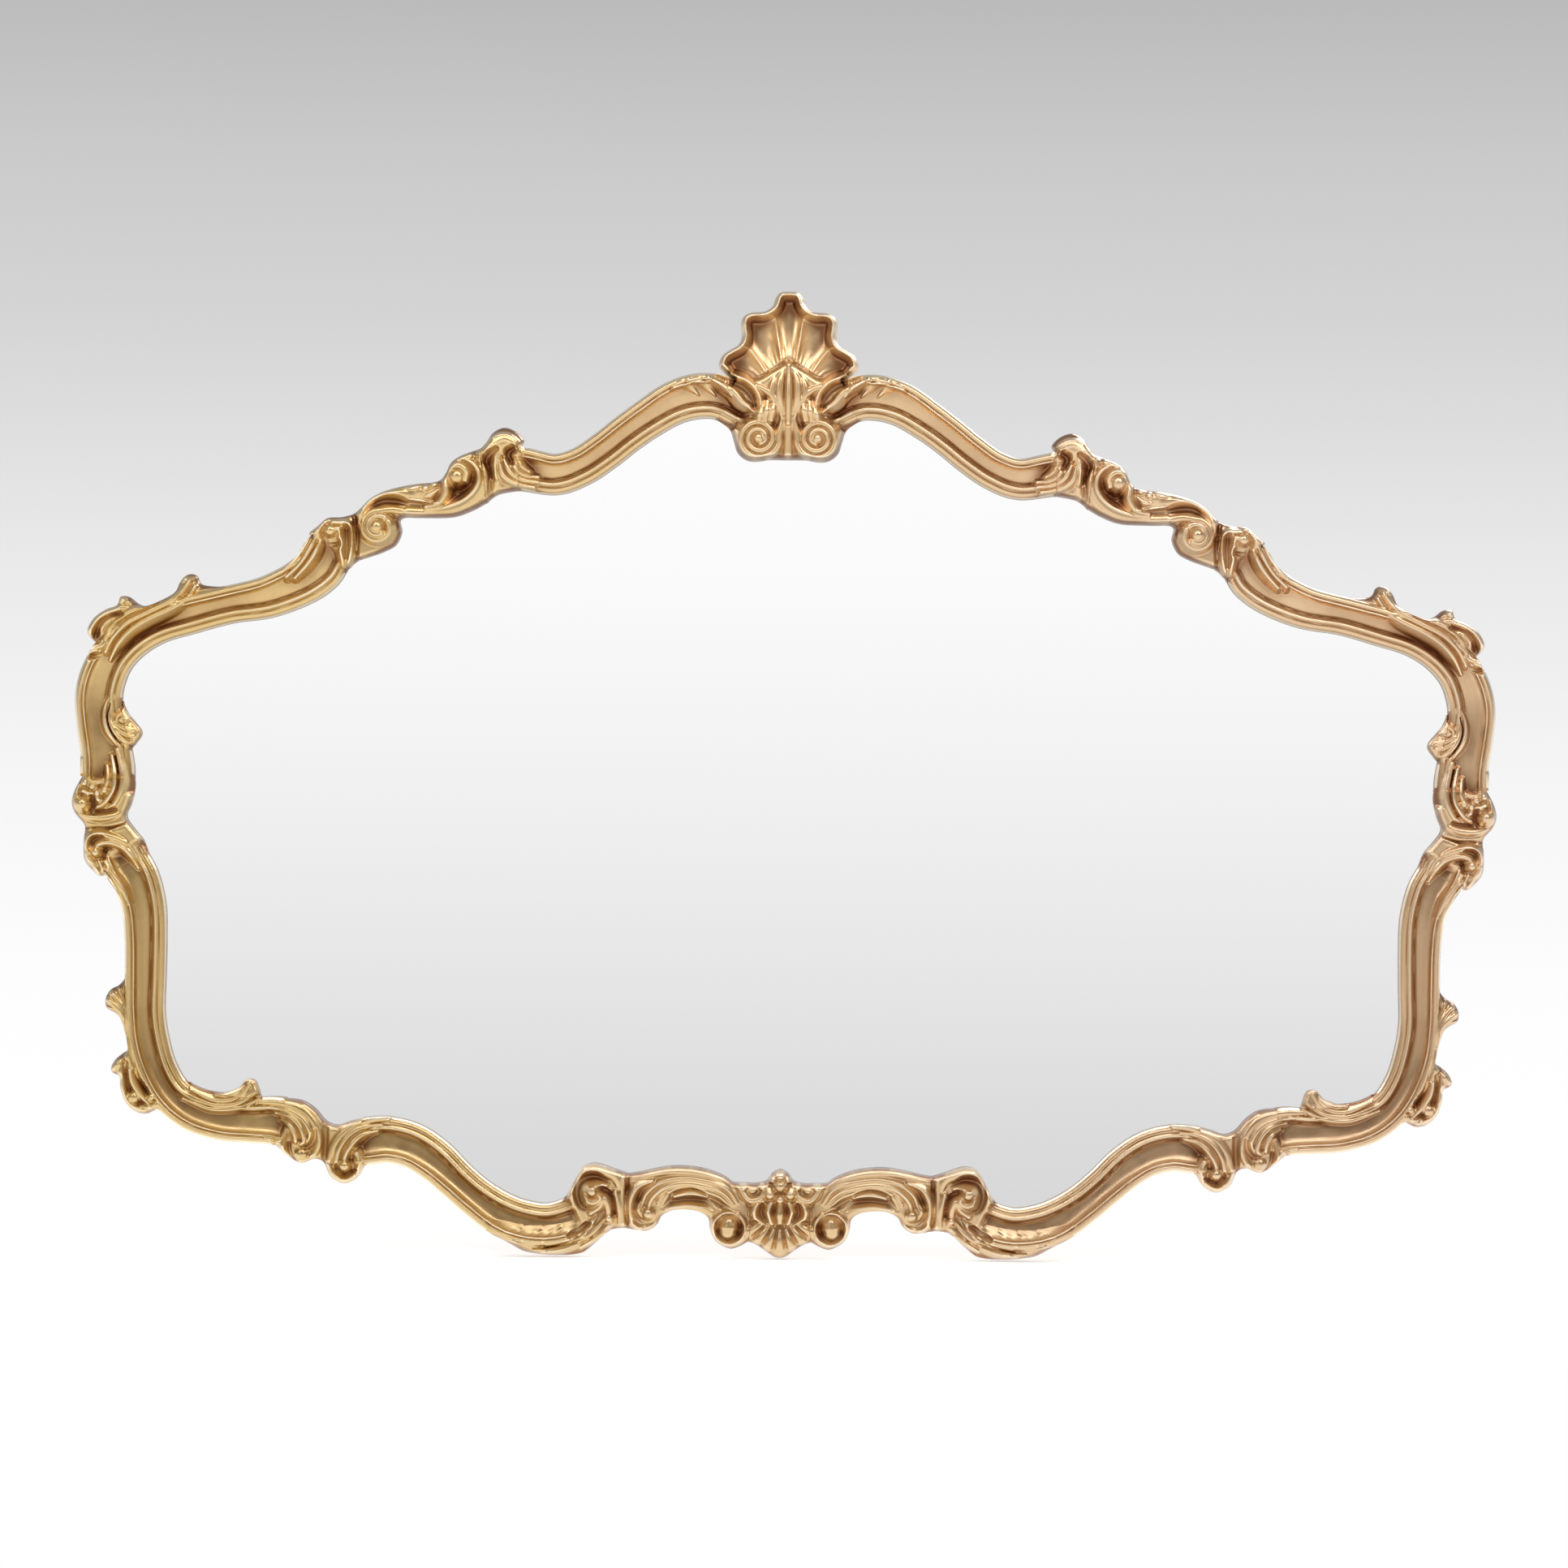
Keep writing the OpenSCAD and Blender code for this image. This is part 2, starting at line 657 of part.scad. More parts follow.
module carcass_bottom() {
    far = 2 * spine_end;
    color(plywood) difference() {
        ring_piece(
            base_lap_at - half_lap, far - base_lap_at + half_lap,
            base_lap_at + half_lap, far - base_lap_at - half_lap
        );
        left_and_right() lap_holes();
        left_and_right() back_holes();
    }
}

// ---- Glass and back ----

function sight_outline(d) =
    let (half = inner_line(0, spine_end, d))
    concat(half, backwards(flipped([for (i = [1 : len(half) - 2]) half[i]])));

module mirror_plate() {
    color(silvered) slab(sight_outline(glass_lap), glass_back, gilt_back);
}

module backing_board() {
    color(hardboard) slab(sight_outline(lip_lap - board_gap), carcass_back, glass_back);
}

// Softwood blocks that keep the glass centred in the carcass, as stretches of the spine
block_places = [crest_from + 3, shoulder_from + 4, side_from + 4, side_from + 11, base_from + 4, base_to + 4];
block_span = 1 / spine_steps;

module setting_blocks() {
    color(softwood) left_and_right() for (u = block_places) {
        band = concat(inner_line(u, u + block_span, lip_lap), inner_line(u + block_span, u, glass_lap));
        slab(band, glass_back, gilt_back);
    }
}

// ---- Turn buttons ----

// Each as [pivot, angle of its nose, reach of its nose from the pivot], on the ring's back
button_spine_places = [crest_from + 2, shoulder_from + 3, side_from + 4, base_from + 3];
button_places = [
    for (u = button_spine_places)
        let (n = outward_at(u))
        [ring_middle(u), atan2(-n[1], -n[0]), reach(u)]
];

// From the pivot to the button's nose, past the ring's inner edge and the board's clearance
function reach(u) = norm(ring_middle(u) - inner_wall(u, lip_lap)) + board_gap + button_lap;
button_tail = 7;
button_screw_l = 8;
button_head_h = 1.6;
// A domed screw head is this much smaller in radius at its top
head_taper = 0.8;
button_front = carcass_back - button_t;

module turn_button(i) {
    place = button_places[i];
    nose = place[2] - button_w / 2;
    tail = button_tail - button_w / 2;
    color(zinc) difference() {
        translate([place[0][0], -carcass_back, place[0][1]]) rotate([0, -place[1], 0])
            rotate([-90, 0, 0]) linear_extrude(button_t) union() {
                translate([-tail, -button_w / 2]) square([nose + tail, button_w]);
                translate([nose, 0]) circle(r = button_w / 2);
                translate([-tail, 0]) circle(r = button_w / 2);
            }
        bar(place[0], button_screw_r + turn_gap, button_front - 1, carcass_back + 1);
    }
}

module button_screws() {
    color(zinc) left_and_right() for (p = button_places) {
        bar(p[0], button_screw_r, button_front - turn_gap, carcass_back + button_screw_l);
        bar(
            p[0], button_head_r - head_taper,
            button_front - turn_gap - button_head_h, button_front - turn_gap, button_head_r
        );
    }
}

// ---- Hangers ----

// The ring's pivot on the carcass, and the depths that keep the ring clear of its strap
hanger_place = shoulder_from + 9;
hanger_at = ring_middle(hanger_place);
ring_axis = carcass_back - strap_t - ring_gap - wire_r;
eye_wall = 1.2;
eye_r = wire_r + turn_gap + eye_wall;
strap_screw_l = 8;
strap_head_h = 1.4;
strap_hole_z = [hanger_at[1] - 9, hanger_at[1] - strap_l + 8];
strap_front = carcass_back - strap_t;

module strap_hanger() {
    color(zinc) difference() {
        union() {
            translate([hanger_at[0] - strap_w / 2, -carcass_back, hanger_at[1] - strap_l + strap_w / 2])
                cube([strap_w, strap_t, strap_l - strap_w / 2 + eye_r]);
            bar([hanger_at[0], hanger_at[1] - strap_l + strap_w / 2], strap_w / 2, strap_front, carcass_back);
            translate([hanger_at[0] - strap_w / 2, -ring_axis, hanger_at[1]]) rotate([0, 90, 0])
                cylinder(h = strap_w, r = eye_r);
        }
        translate([hanger_at[0] - strap_w, -ring_axis, hanger_at[1]]) rotate([0, 90, 0])
            cylinder(h = 2 * strap_w, r = wire_r + turn_gap);
        for (z = strap_hole_z)
            bar([hanger_at[0], z], strap_screw_r + pilot_gap, strap_front - 1, carcass_back + 1);
    }
}

module hanging_ring() {
    color(brass) translate([hanger_at[0], -ring_axis, hanger_at[1]]) {
        rotate([90, 0, 0]) rotate([0, 0, 180]) rotate_extrude(angle = 180)
            translate([bow_r, 0]) circle(r = wire_r);
        translate([-bow_r, 0, 0]) rotate([0, 90, 0]) cylinder(h = 2 * bow_r, r = wire_r);
        for (x = [-bow_r, bow_r]) translate([x, 0, 0]) sphere(r = wire_r);
    }
}

module strap_screws() {
    color(zinc) left_and_right() for (z = strap_hole_z) {
        at = [hanger_at[0], z];
        bar(at, strap_screw_r, strap_front, carcass_back + strap_screw_l);
        bar(at, strap_head_r - head_taper, strap_front - strap_head_h, strap_front, strap_head_r);
    }
}

// ---- Wall bumpers ----

bumper_places = [shoulder_from + 4, side_from + 6, base_to - 2];

module wall_bumpers() {
    color(cork) left_and_right() for (u = bumper_places) bar(ring_middle(u), bumper_r, 0, bumper_t);
}

crest_shell();
apron_keystone();
left() crest_rail();  // crest_rail_left
crest_rail();  // crest_rail_right
left() upper_knuckle();  // upper_knuckle_left
upper_knuckle();  // upper_knuckle_right
left() upper_scroll();  // upper_scroll_left
upper_scroll();  // upper_scroll_right
left() shoulder_knuckle();  // shoulder_knuckle_left
shoulder_knuckle();  // shoulder_knuckle_right
left() shoulder_rail();  // shoulder_rail_left
shoulder_rail();  // shoulder_rail_right
left() shoulder_leaf();  // shoulder_leaf_left
shoulder_leaf();  // shoulder_leaf_right
left() sight_leaf();  // sight_leaf_left
sight_leaf();  // sight_leaf_right
left() side_knuckle();  // side_knuckle_left
side_knuckle();  // side_knuckle_right
left() side_rail();  // side_rail_left
side_rail();  // side_rail_right
left() corner_leaf();  // corner_leaf_left
corner_leaf();  // corner_leaf_right
left() corner_curl();  // corner_curl_left
corner_curl();  // corner_curl_right
left() lower_knuckle();  // lower_knuckle_left
lower_knuckle();  // lower_knuckle_right
left() base_rail();  // base_rail_left
base_rail();  // base_rail_right
left() base_leaf();  // base_leaf_left
base_leaf();  // base_leaf_right
left() base_knuckle();  // base_knuckle_left
base_knuckle();  // base_knuckle_right
left() apron_arch();  // apron_arch_left
apron_arch();  // apron_arch_right
carcass_top();
carcass_bottom();
left() carcass_upper();  // carcass_upper_left
carcass_upper();  // carcass_upper_right
left() carcass_lower();  // carcass_lower_left
carcass_lower();  // carcass_lower_right
lap_screws();
mirror_plate();
setting_blocks();
backing_board();
left() turn_button(0);  // turn_button_crest_left
turn_button(0);  // turn_button_crest_right
left() turn_button(1);  // turn_button_shoulder_left
turn_button(1);  // turn_button_shoulder_right
left() turn_button(2);  // turn_button_side_left
turn_button(2);  // turn_button_side_right
left() turn_button(3);  // turn_button_base_left
turn_button(3);  // turn_button_base_right
button_screws();
left() strap_hanger();  // strap_hanger_left
strap_hanger();  // strap_hanger_right
left() hanging_ring();  // hanging_ring_left
hanging_ring();  // hanging_ring_right
strap_screws();
wall_bumpers();
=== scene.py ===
import bpy
import bmesh
import math
import numpy as np
from mathutils import Matrix, Vector


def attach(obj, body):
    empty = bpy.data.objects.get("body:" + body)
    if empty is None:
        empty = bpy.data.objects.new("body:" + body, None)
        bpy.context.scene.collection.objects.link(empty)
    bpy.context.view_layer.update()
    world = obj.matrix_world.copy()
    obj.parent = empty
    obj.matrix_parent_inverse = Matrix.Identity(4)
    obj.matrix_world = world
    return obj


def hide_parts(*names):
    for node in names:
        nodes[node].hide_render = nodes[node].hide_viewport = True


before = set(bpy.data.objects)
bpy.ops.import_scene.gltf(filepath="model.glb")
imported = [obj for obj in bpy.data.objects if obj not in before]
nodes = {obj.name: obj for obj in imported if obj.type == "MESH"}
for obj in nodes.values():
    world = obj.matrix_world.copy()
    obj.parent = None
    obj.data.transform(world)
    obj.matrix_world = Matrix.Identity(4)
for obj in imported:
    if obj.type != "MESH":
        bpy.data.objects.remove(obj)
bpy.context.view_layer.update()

# The overmantel mirror stands with its wall side at y = 0 and faces -Y. Sizes are in
# millimetres until they go into a mesh.
mm = 0.001
weldWithin = 1e-6             # points this near to each other are one, in metres
onPlane = 1e-7                # and this near to a cutting plane they lie on it
batch = 3000                  # points taken at a time, to spare memory
squareOn = 0.9                # a normal's share along y, on a face that looks straight that way
wallMost = 0.5                # and the most of it on a side wall


def newObject(name, data):
    piece = bpy.data.objects.new(name, data)
    bpy.context.scene.collection.objects.link(piece)
    return piece


def formOf(mesh):             # a mesh opened up for work on it
    form = bmesh.new()
    form.from_mesh(mesh)
    return form


def putBack(form, mesh):
    form.to_mesh(mesh)
    form.free()
    return mesh


def meshOf(form, name):
    return putBack(form, bpy.data.meshes.new(name))


def appliedMesh(piece):       # its mesh with the modifiers carried out, in place of the piece
    view = bpy.context.evaluated_depsgraph_get()
    mesh = bpy.data.meshes.new_from_object(piece.evaluated_get(view))
    bpy.data.objects.remove(piece)
    return mesh


def feed(tree, socket, value):          # a link from another node's socket, or a constant
    if isinstance(value, bpy.types.NodeSocket):
        tree.links.new(value, socket)
    else:
        socket.default_value = (*value, 1) if socket.type == "RGBA" else value


def addNode(tree, kind, **values):
    node = tree.nodes.new(kind)
    for name, value in values.items():
        if name in node.inputs:
            feed(tree, node.inputs[name], value)
        else:
            setattr(node, name, value)
    return node


def compute(tree, operation, *values):
    node = addNode(tree, "ShaderNodeMath", operation=operation)
    for socket, value in zip(node.inputs, values):
        feed(tree, socket, value)
    return node.outputs[0]


def axes(tree, place):
    return addNode(tree, "ShaderNodeSeparateXYZ", Vector=place).outputs


def mixColour(tree, factor, first, second):
    mix = addNode(tree, "ShaderNodeMix", data_type="RGBA", Factor=factor, A=first, B=second)
    return mix.outputs["Result"]


def mixShader(tree, factor, first, second):
    mix = addNode(tree, "ShaderNodeMixShader")
    for socket, source in zip(mix.inputs, (factor, first.outputs[0], second.outputs[0])):
        tree.links.new(source, socket)
    return mix


def mapped(tree, value, low, high, to=(0, 1), kind="SMOOTHSTEP"):
    spread = addNode(tree, "ShaderNodeMapRange", interpolation_type=kind, Value=value)
    for name, number in zip(("From Min", "From Max", "To Min", "To Max"), (low, high, *to)):
        spread.inputs[name].default_value = number
    return spread.outputs["Result"]


def rampOf(tree, source, stops, low, high):     # a colour ramp over low to high
    ramp = addNode(tree, "ShaderNodeValToRGB", Fac=mapped(tree, source, low, high, kind="LINEAR"))
    points = ramp.color_ramp.elements
    while len(points) < len(stops):
        points.new(0.5)
    for point, (place, colour) in zip(points, stops):
        point.position = (place - low) / (high - low)
        point.color = (*colour, 1) if isinstance(colour, tuple) else (colour, colour, colour, 1)
    return ramp.outputs["Color"]


studio = {
    "cameraAt": (-0.4, -5030, -8.8),
    "viewWidth": 1545.6,      # what the picture shows across, at viewPlane
    "viewPlane": -30,
    "sensor": 36,
    "roll": -0.6,             # degrees
    "floorAt": -477.5,
    "floorFront": -900,
    "floorBack": 2600,
    "floorSide": 3000,
    "floorPaint": (0.85, 0.85, 0.85),
    "floorGlow": 0.45,        # lifts the floor towards white, as it is seen
    "floorInGilt": (1.26, 1.25, 1.21),
    "floorInMirror": (0.705, 0.705, 0.705),
    "daylight": (0.75, 0.75, 0.75),      # what the surroundings light the piece with
    "skyline": 0.2,           # behind and before run this far above and below level
}

# How bright the surroundings are by the height of the line of sight, as (height, grey): what
# stands behind the mirror, and what the glass throws back.
behind = [(-0.069, 1.0), (-0.045, 0.99), (0.0, 0.92), (0.042, 0.82), (0.090, 0.66),
          (0.122, 0.59), (0.154, 0.49)]
before = [(-0.090, 0.70), (-0.069, 0.72), (-0.037, 0.81), (0.0, 0.90), (0.042, 0.985), (0.070, 1.0)]
# And what the gilt throws back of the room in front: bright below, dim above.
room = [(-1.0, (1.38, 1.37, 1.33)), (-0.5, (1.32, 1.31, 1.27)), (-0.15, (1.16, 1.14, 1.10)),
        (0.0, (0.72, 0.69, 0.65)), (0.22, (0.33, 0.28, 0.24)), (0.60, (0.22, 0.18, 0.15)),
        (0.80, (0.28, 0.25, 0.22)), (1.0, (0.48, 0.48, 0.48))]

# name: (place, what it points at, width, height, watts), in metres
lamps = {
    "keyLamp": ((1.15, -1.2, 1.35), (0.3, 0, 0.3), 0.8, 0.6, 7),
    "fillLamp": ((-1.5, -1.7, 1.3), (-0.3, 0, 0.3), 0.9, 0.6, 7),
    "topLamp": ((0.0, -0.75, 1.3), (0, 0, 0.45), 1.8, 0.45, 9),
    "backLamp": ((1.4, 2.6, 1.8), (0, 0, 0), 1.6, 1.2, 24),
}


def setCamera():
    lens = bpy.data.cameras.new("camera")
    distance = studio["viewPlane"] - studio["cameraAt"][1]
    lens.sensor_width = studio["sensor"]
    lens.lens = studio["sensor"] * distance / studio["viewWidth"]
    lens.clip_end = 60
    holder = newObject("camera", lens)
    holder.location = Vector(studio["cameraAt"]) * mm
    holder.rotation_euler = (math.radians(90), math.radians(studio["roll"]), 0)
    bpy.context.scene.camera = holder


def setWorld():
    world = bpy.data.worlds.new("studio")
    bpy.context.scene.world = world
    world.use_nodes = True
    tree = world.node_tree
    tree.nodes.clear()
    look = axes(tree, addNode(tree, "ShaderNodeTexCoord").outputs["Generated"])
    reach = studio["skyline"]
    back = rampOf(tree, look["Z"], behind, -reach, reach)
    front = rampOf(tree, look["Z"], before, -reach, reach)
    soft = rampOf(tree, look["Z"], room, -1, 1)
    rays = addNode(tree, "ShaderNodeLightPath").outputs
    ahead = mixColour(tree, rays["Is Singular Ray"], soft, front)    # gilt or mirror
    seen = mixColour(tree, compute(tree, "GREATER_THAN", look["Y"], 0), ahead, back)
    shown = compute(tree, "MAXIMUM", rays["Is Camera Ray"], rays["Is Glossy Ray"])
    shown = compute(tree, "MAXIMUM", shown, rays["Is Transmission Ray"])
    glow = addNode(tree, "ShaderNodeBackground", Strength=1.0,
                   Color=mixColour(tree, shown, studio["daylight"], seen))
    addNode(tree, "ShaderNodeOutputWorld", Surface=glow.outputs["Background"])


def setFloor():
    slab = bmesh.new()
    bmesh.ops.create_grid(slab, x_segments=1, y_segments=1, size=1)
    depth = studio["floorBack"] - studio["floorFront"]
    middle = (studio["floorBack"] + studio["floorFront"]) / 2
    place = Matrix.Translation(Vector((0, middle, studio["floorAt"])) * mm)
    place @= Matrix.Diagonal((studio["floorSide"] * mm, depth / 2 * mm, 1, 1))
    bmesh.ops.transform(slab, matrix=place, verts=slab.verts)
    floor = newObject("floor", meshOf(slab, "floor"))
    material = bpy.data.materials.new("paleFloor")
    material.use_nodes = True
    tree = material.node_tree
    tree.nodes.clear()
    paint = addNode(tree, "ShaderNodeBsdfDiffuse", Color=studio["floorPaint"])
    lit = addNode(tree, "ShaderNodeEmission", Color=(1, 1, 1), Strength=studio["floorGlow"])
    both = addNode(tree, "ShaderNodeAddShader")
    tree.links.new(paint.outputs[0], both.inputs[0])
    tree.links.new(lit.outputs[0], both.inputs[1])
    rays = addNode(tree, "ShaderNodeLightPath").outputs
    seen = compute(tree, "MAXIMUM", rays["Is Camera Ray"], rays["Is Glossy Ray"])
    shown = mixShader(tree, seen, paint, both)
    for ray, colour in (("Is Glossy Ray", "floorInGilt"), ("Is Singular Ray", "floorInMirror")):
        there = addNode(tree, "ShaderNodeEmission", Color=studio[colour], Strength=1.0)
        shown = mixShader(tree, rays[ray], shown, there)
    addNode(tree, "ShaderNodeOutputMaterial", Surface=shown.outputs[0])
    floor.data.materials.append(material)


def setLamps():
    for name, (place, aim, width, height, watts) in lamps.items():
        bulb = bpy.data.lights.new(name, "AREA")
        bulb.shape = "RECTANGLE"
        bulb.size = width
        bulb.size_y = height
        bulb.energy = watts
        lamp = newObject(name, bulb)
        lamp.location = place
        lamp.rotation_euler = (Vector(aim) - Vector(place)).to_track_quat("-Z", "Y").to_euler()


bpy.context.scene.view_settings.view_transform = "Standard"
setCamera()
setWorld()
setFloor()
setLamps()
print("studio set")


# [x, z, width] from the top middle clockwise to the bottom middle. A run carries a moulding
# and its third number is the width above railWidth; a link lies under carved pieces.
gilt = {
    "back": 18,               # depth of the gilt's back in front of the wall
    "front": 55,              # the furthest that any gilt stands out
    "railWidth": 38,
    "stretches": [
        ("crestLink", [(0, 346, 40), (26, 350, 40)]),
        ("crestRun", [(62, 369, 4), (86, 373, 6), (112, 366, 4), (138, 350, 1), (160, 334, 0),
                      (180, 318, 0), (204, 302, 0), (230, 294, 2), (264, 299, 4)]),
        ("upperLink", [(290, 294, 42), (318, 278, 40), (345, 267, 36), (374, 264, 34),
                       (402, 250, 36), (430, 231, 41)]),
        ("shoulderRun", [(452, 213, 10), (461, 198, 9), (480, 184, 7), (512, 170, 3),
                         (550, 162, -1), (588, 152, 0), (620, 142, 0), (645, 128, 2),
                         (663, 110, 4), (673, 90, 6), (677, 68, 7), (674, 40, 8),
                         (669, 16, 11), (667, -8, 13)]),
        ("sideLink", [(669, -34, 46), (663, -62, 42)]),
        ("sideRun", [(647, -94, 7), (637, -112, 6), (630, -138, 4), (628, -170, 2),
                     (628, -205, 1), (628, -240, 0), (624, -270, 1), (615, -298, 0),
                     (600, -322, 0), (578, -337, 3), (550, -344, 6), (522, -346, 6),
                     (494, -347, 9)]),
        ("lowerLink", [(468, -358, 42), (438, -368, 42)]),
        ("baseRun", [(411, -366, 8), (386, -364, 7), (362, -370, 6), (340, -384, 4),
                     (320, -402, 1), (300, -419, 1), (278, -434, 4), (256, -443, 5),
                     (230, -446, 4), (205, -440, 5)]),
        ("apronLink", [(178, -426, 44), (150, -421, 42), (122, -412, 42), (92, -408, 42),
                       (62, -416, 42), (30, -428, 42), (0, -432, 42)]),
    ],
}

centreLine = []
runEnds = {}                  # name of a run: its first and last place on the centre line
for name, stretch in gilt["stretches"]:
    extra = gilt["railWidth"] if name.endswith("Run") else 0
    runEnds[name] = (len(centreLine), len(centreLine) + len(stretch) - 1)
    centreLine += [(x, z, wide + extra) for x, z, wide in stretch]
centreLine = np.array(centreLine, float)
flipSide = np.array([-1, 1, 1])
pastTop = centreLine[2:0:-1] * flipSide          # the line goes on past both ends, mirrored
pastFoot = centreLine[-2:-4:-1] * flipSide
wholeLine = np.vstack([pastTop, centreLine, pastFoot])


def throughPoints(points, places):     # a smooth curve through points, at the given places
    first = np.clip(np.floor(places).astype(int), 0, len(points) - 2)
    t = (places - first)[:, None]
    last = len(points) - 1
    a, b, c, d = (points[np.clip(first + k, 0, last)] for k in (-1, 0, 1, 2))
    return (2 * b + (c - a) * t + (2 * a - 5 * b + 4 * c - d) * t**2
            + (3 * b - a - 3 * c + d) * t**3) / 2


def onCentreLine(places):              # x, z and width there, and the way outwards
    places = np.asarray(places, float) + len(pastTop)
    here = throughPoints(wholeLine, places)
    hair = 0.01               # of the way from one point to the next
    step = throughPoints(wholeLine, places + hair) - throughPoints(wholeLine, places - hair)
    length = np.hypot(step[:, 0], step[:, 1])
    outwards = np.stack([-step[:, 1], step[:, 0]], 1) / length[:, None]
    return here, outwards


# The moulding's section: heights by distance in from the outer wall, across the cove, and by
# distance in from the sight edge
moulding = {
    "outer": [(0, 17.6), (0.5, 19.3), (1.2, 20.9), (2.2, 22.4), (3.4, 23.5), (4.6, 23.9),
              (5.6, 23.5), (6.5, 22.2), (7.1, 20.9), (7.5, 20.5), (8.0, 21.2), (8.7, 21.6),
              (9.4, 21.0), (9.9, 19.6), (10.3, 17.4)],
    "cove": [17.4, 15.0, 13.5, 12.5, 11.8, 11.2, 10.7, 10.3, 9.8, 9.1, 7.6],
    "sight": [(0, 3.9), (0.6, 5.6), (1.5, 7.3), (2.8, 8.9), (4.2, 9.9), (5.6, 10.4), (6.5, 10.2),
              (7.0, 9.8), (7.4, 10.2), (8.0, 11.8), (8.8, 13.3), (9.9, 14.2), (11.0, 14.0),
              (12.0, 12.9), (12.9, 11.2), (13.7, 9.5), (14.4, 8.1), (15.1, 7.6)],
}
outerStep, outerHeight = np.array(moulding["outer"]).T
sightStep, sightHeight = np.array(moulding["sight"]).T
coveHeight = np.array(moulding["cove"])


def mouldingHeight(fromOuter, fromSight):
    width = fromOuter + fromSight
    across = (fromOuter - outerStep[-1]) / (width - outerStep[-1] - sightStep[-1])
    high = np.interp(across, np.linspace(0, 1, len(coveHeight)), coveHeight)
    high = np.where(fromOuter < outerStep[-1], np.interp(fromOuter, outerStep, outerHeight), high)
    return np.where(fromSight < sightStep[-1], np.interp(fromSight, sightStep, sightHeight), high)


# Every stroke is laid on the gilt of the right half, in x and z, and the left half mirrors it.
# Heights are above the gilt's back. A line with more than two points is smoothed, and widths
# and heights given as several numbers change along it.


def stroke(kind, wide, high, line):
    return {"kind": kind, "wide": np.atleast_1d(wide), "high": np.atleast_1d(high), "line": line}


def roll(wide, high, *line):          # a half-round rib, with its crest at high
    return stroke("roll", wide, high, line)


def dome(wide, high, x, z):           # a ball, bud or eye
    return stroke("roll", wide, high, [(x, z)])


def gouge(wide, high, *line):         # a hollow with its floor at high
    return stroke("gouge", wide, high, line)


def cut(wide, deep, *line):           # a groove of that depth
    return stroke("cut", wide, deep, line)


def vein(wide, tall, *line):          # a thin ridge that adds to what is there
    return stroke("vein", wide, tall, line)


def spiral(x, z, radii, turn):        # points of a spiral, turn in degrees
    steps = int(abs(turn[1] - turn[0]) / 30) + 1
    angles = np.radians(np.linspace(*turn, steps))
    reach = np.linspace(*radii, steps)
    return [(x + r * math.cos(a), z + r * math.sin(a)) for r, a in zip(reach, angles)]


def fan(x, z, radii, turn, count):    # straight lines that spread from a centre
    angles = np.radians(np.linspace(*turn, count))
    return [[(x + r * math.cos(a), z + r * math.sin(a)) for r in radii] for a in angles]


carving = {}

carving["crestShell"] = [
    roll((4, 6, 6, 4), (28, 28, 27, 25), (0, 402), (12, 393), (30, 383), (52, 387)),
    roll((9, 15, 14), (25, 28, 25), (0, 392), (8, 376), (16, 354)),
    roll((1.4, 3.2, 3.4, 2.2), (28, 32, 32, 28), (3, 400), (8, 389), (9, 375), (5, 356)),
    roll((1.4, 3.2, 3.2, 2), (27, 31, 31, 27), (10, 396), (15.5, 385), (16, 373), (10, 358)),
    roll((1.8, 2.8, 2.4), (30, 33.5, 30), (0, 403), (0, 380), (0, 346)),
    roll((1.4, 2.8, 3, 1.6), (28, 30.5, 30, 27), (6, 352), (13, 369), (26, 380), (42, 384)),
    roll((2, 3, 3.4, 2.8, 1.2), (28, 31, 32, 30, 26),
         (27, 354), (28, 366), (36, 380), (50, 389), (70, 394)),
    roll((1.6, 2.6, 2.6, 1.2), (26, 29, 28.5, 25), (34, 359), (45, 366), (56, 378), (74, 388)),
    gouge((1.2, 3, 3, 1.2), 20, (33, 361), (37, 372), (46, 381), (56, 386)),
    roll((2, 3.2, 2.4), (29, 33, 28), (14, 368), (15.5, 358), (17, 349)),
    roll((2, 3.2, 2.4), (30, 34, 28), (20.5, 367), (21.5, 357), (23, 347)),
    roll((2, 3, 2.2), (29, 32, 27), (26.5, 362), (27.5, 354), (29.5, 346)),
    roll(4.5, (27, 24), (0, 350), (0, 313)),
    dome(22, 26, 29, 331),
    roll((2.4, 3, 3, 3, 2.8, 2.6, 2.4, 2.2), (26, 27, 27, 27, 28, 28, 29, 30),
         (7, 368), (5.5, 350), *spiral(29, 331, (21, 5.5), (165, 960))),
    dome(4.6, 32, 29, 331),
    *[vein((1.2, 4.6, 4, 1.2), 3.2, *line) for line in (
        [(56, 372), (64, 380), (74, 387), (84, 389)],
        [(72, 373), (80, 381), (90, 387), (101, 386)],
        [(88, 373), (96, 380), (106, 383), (116, 378)],
    )],
    *[vein(2.6, 2.6, place) for place in ((62, 386), (79, 391), (99, 389))],
]

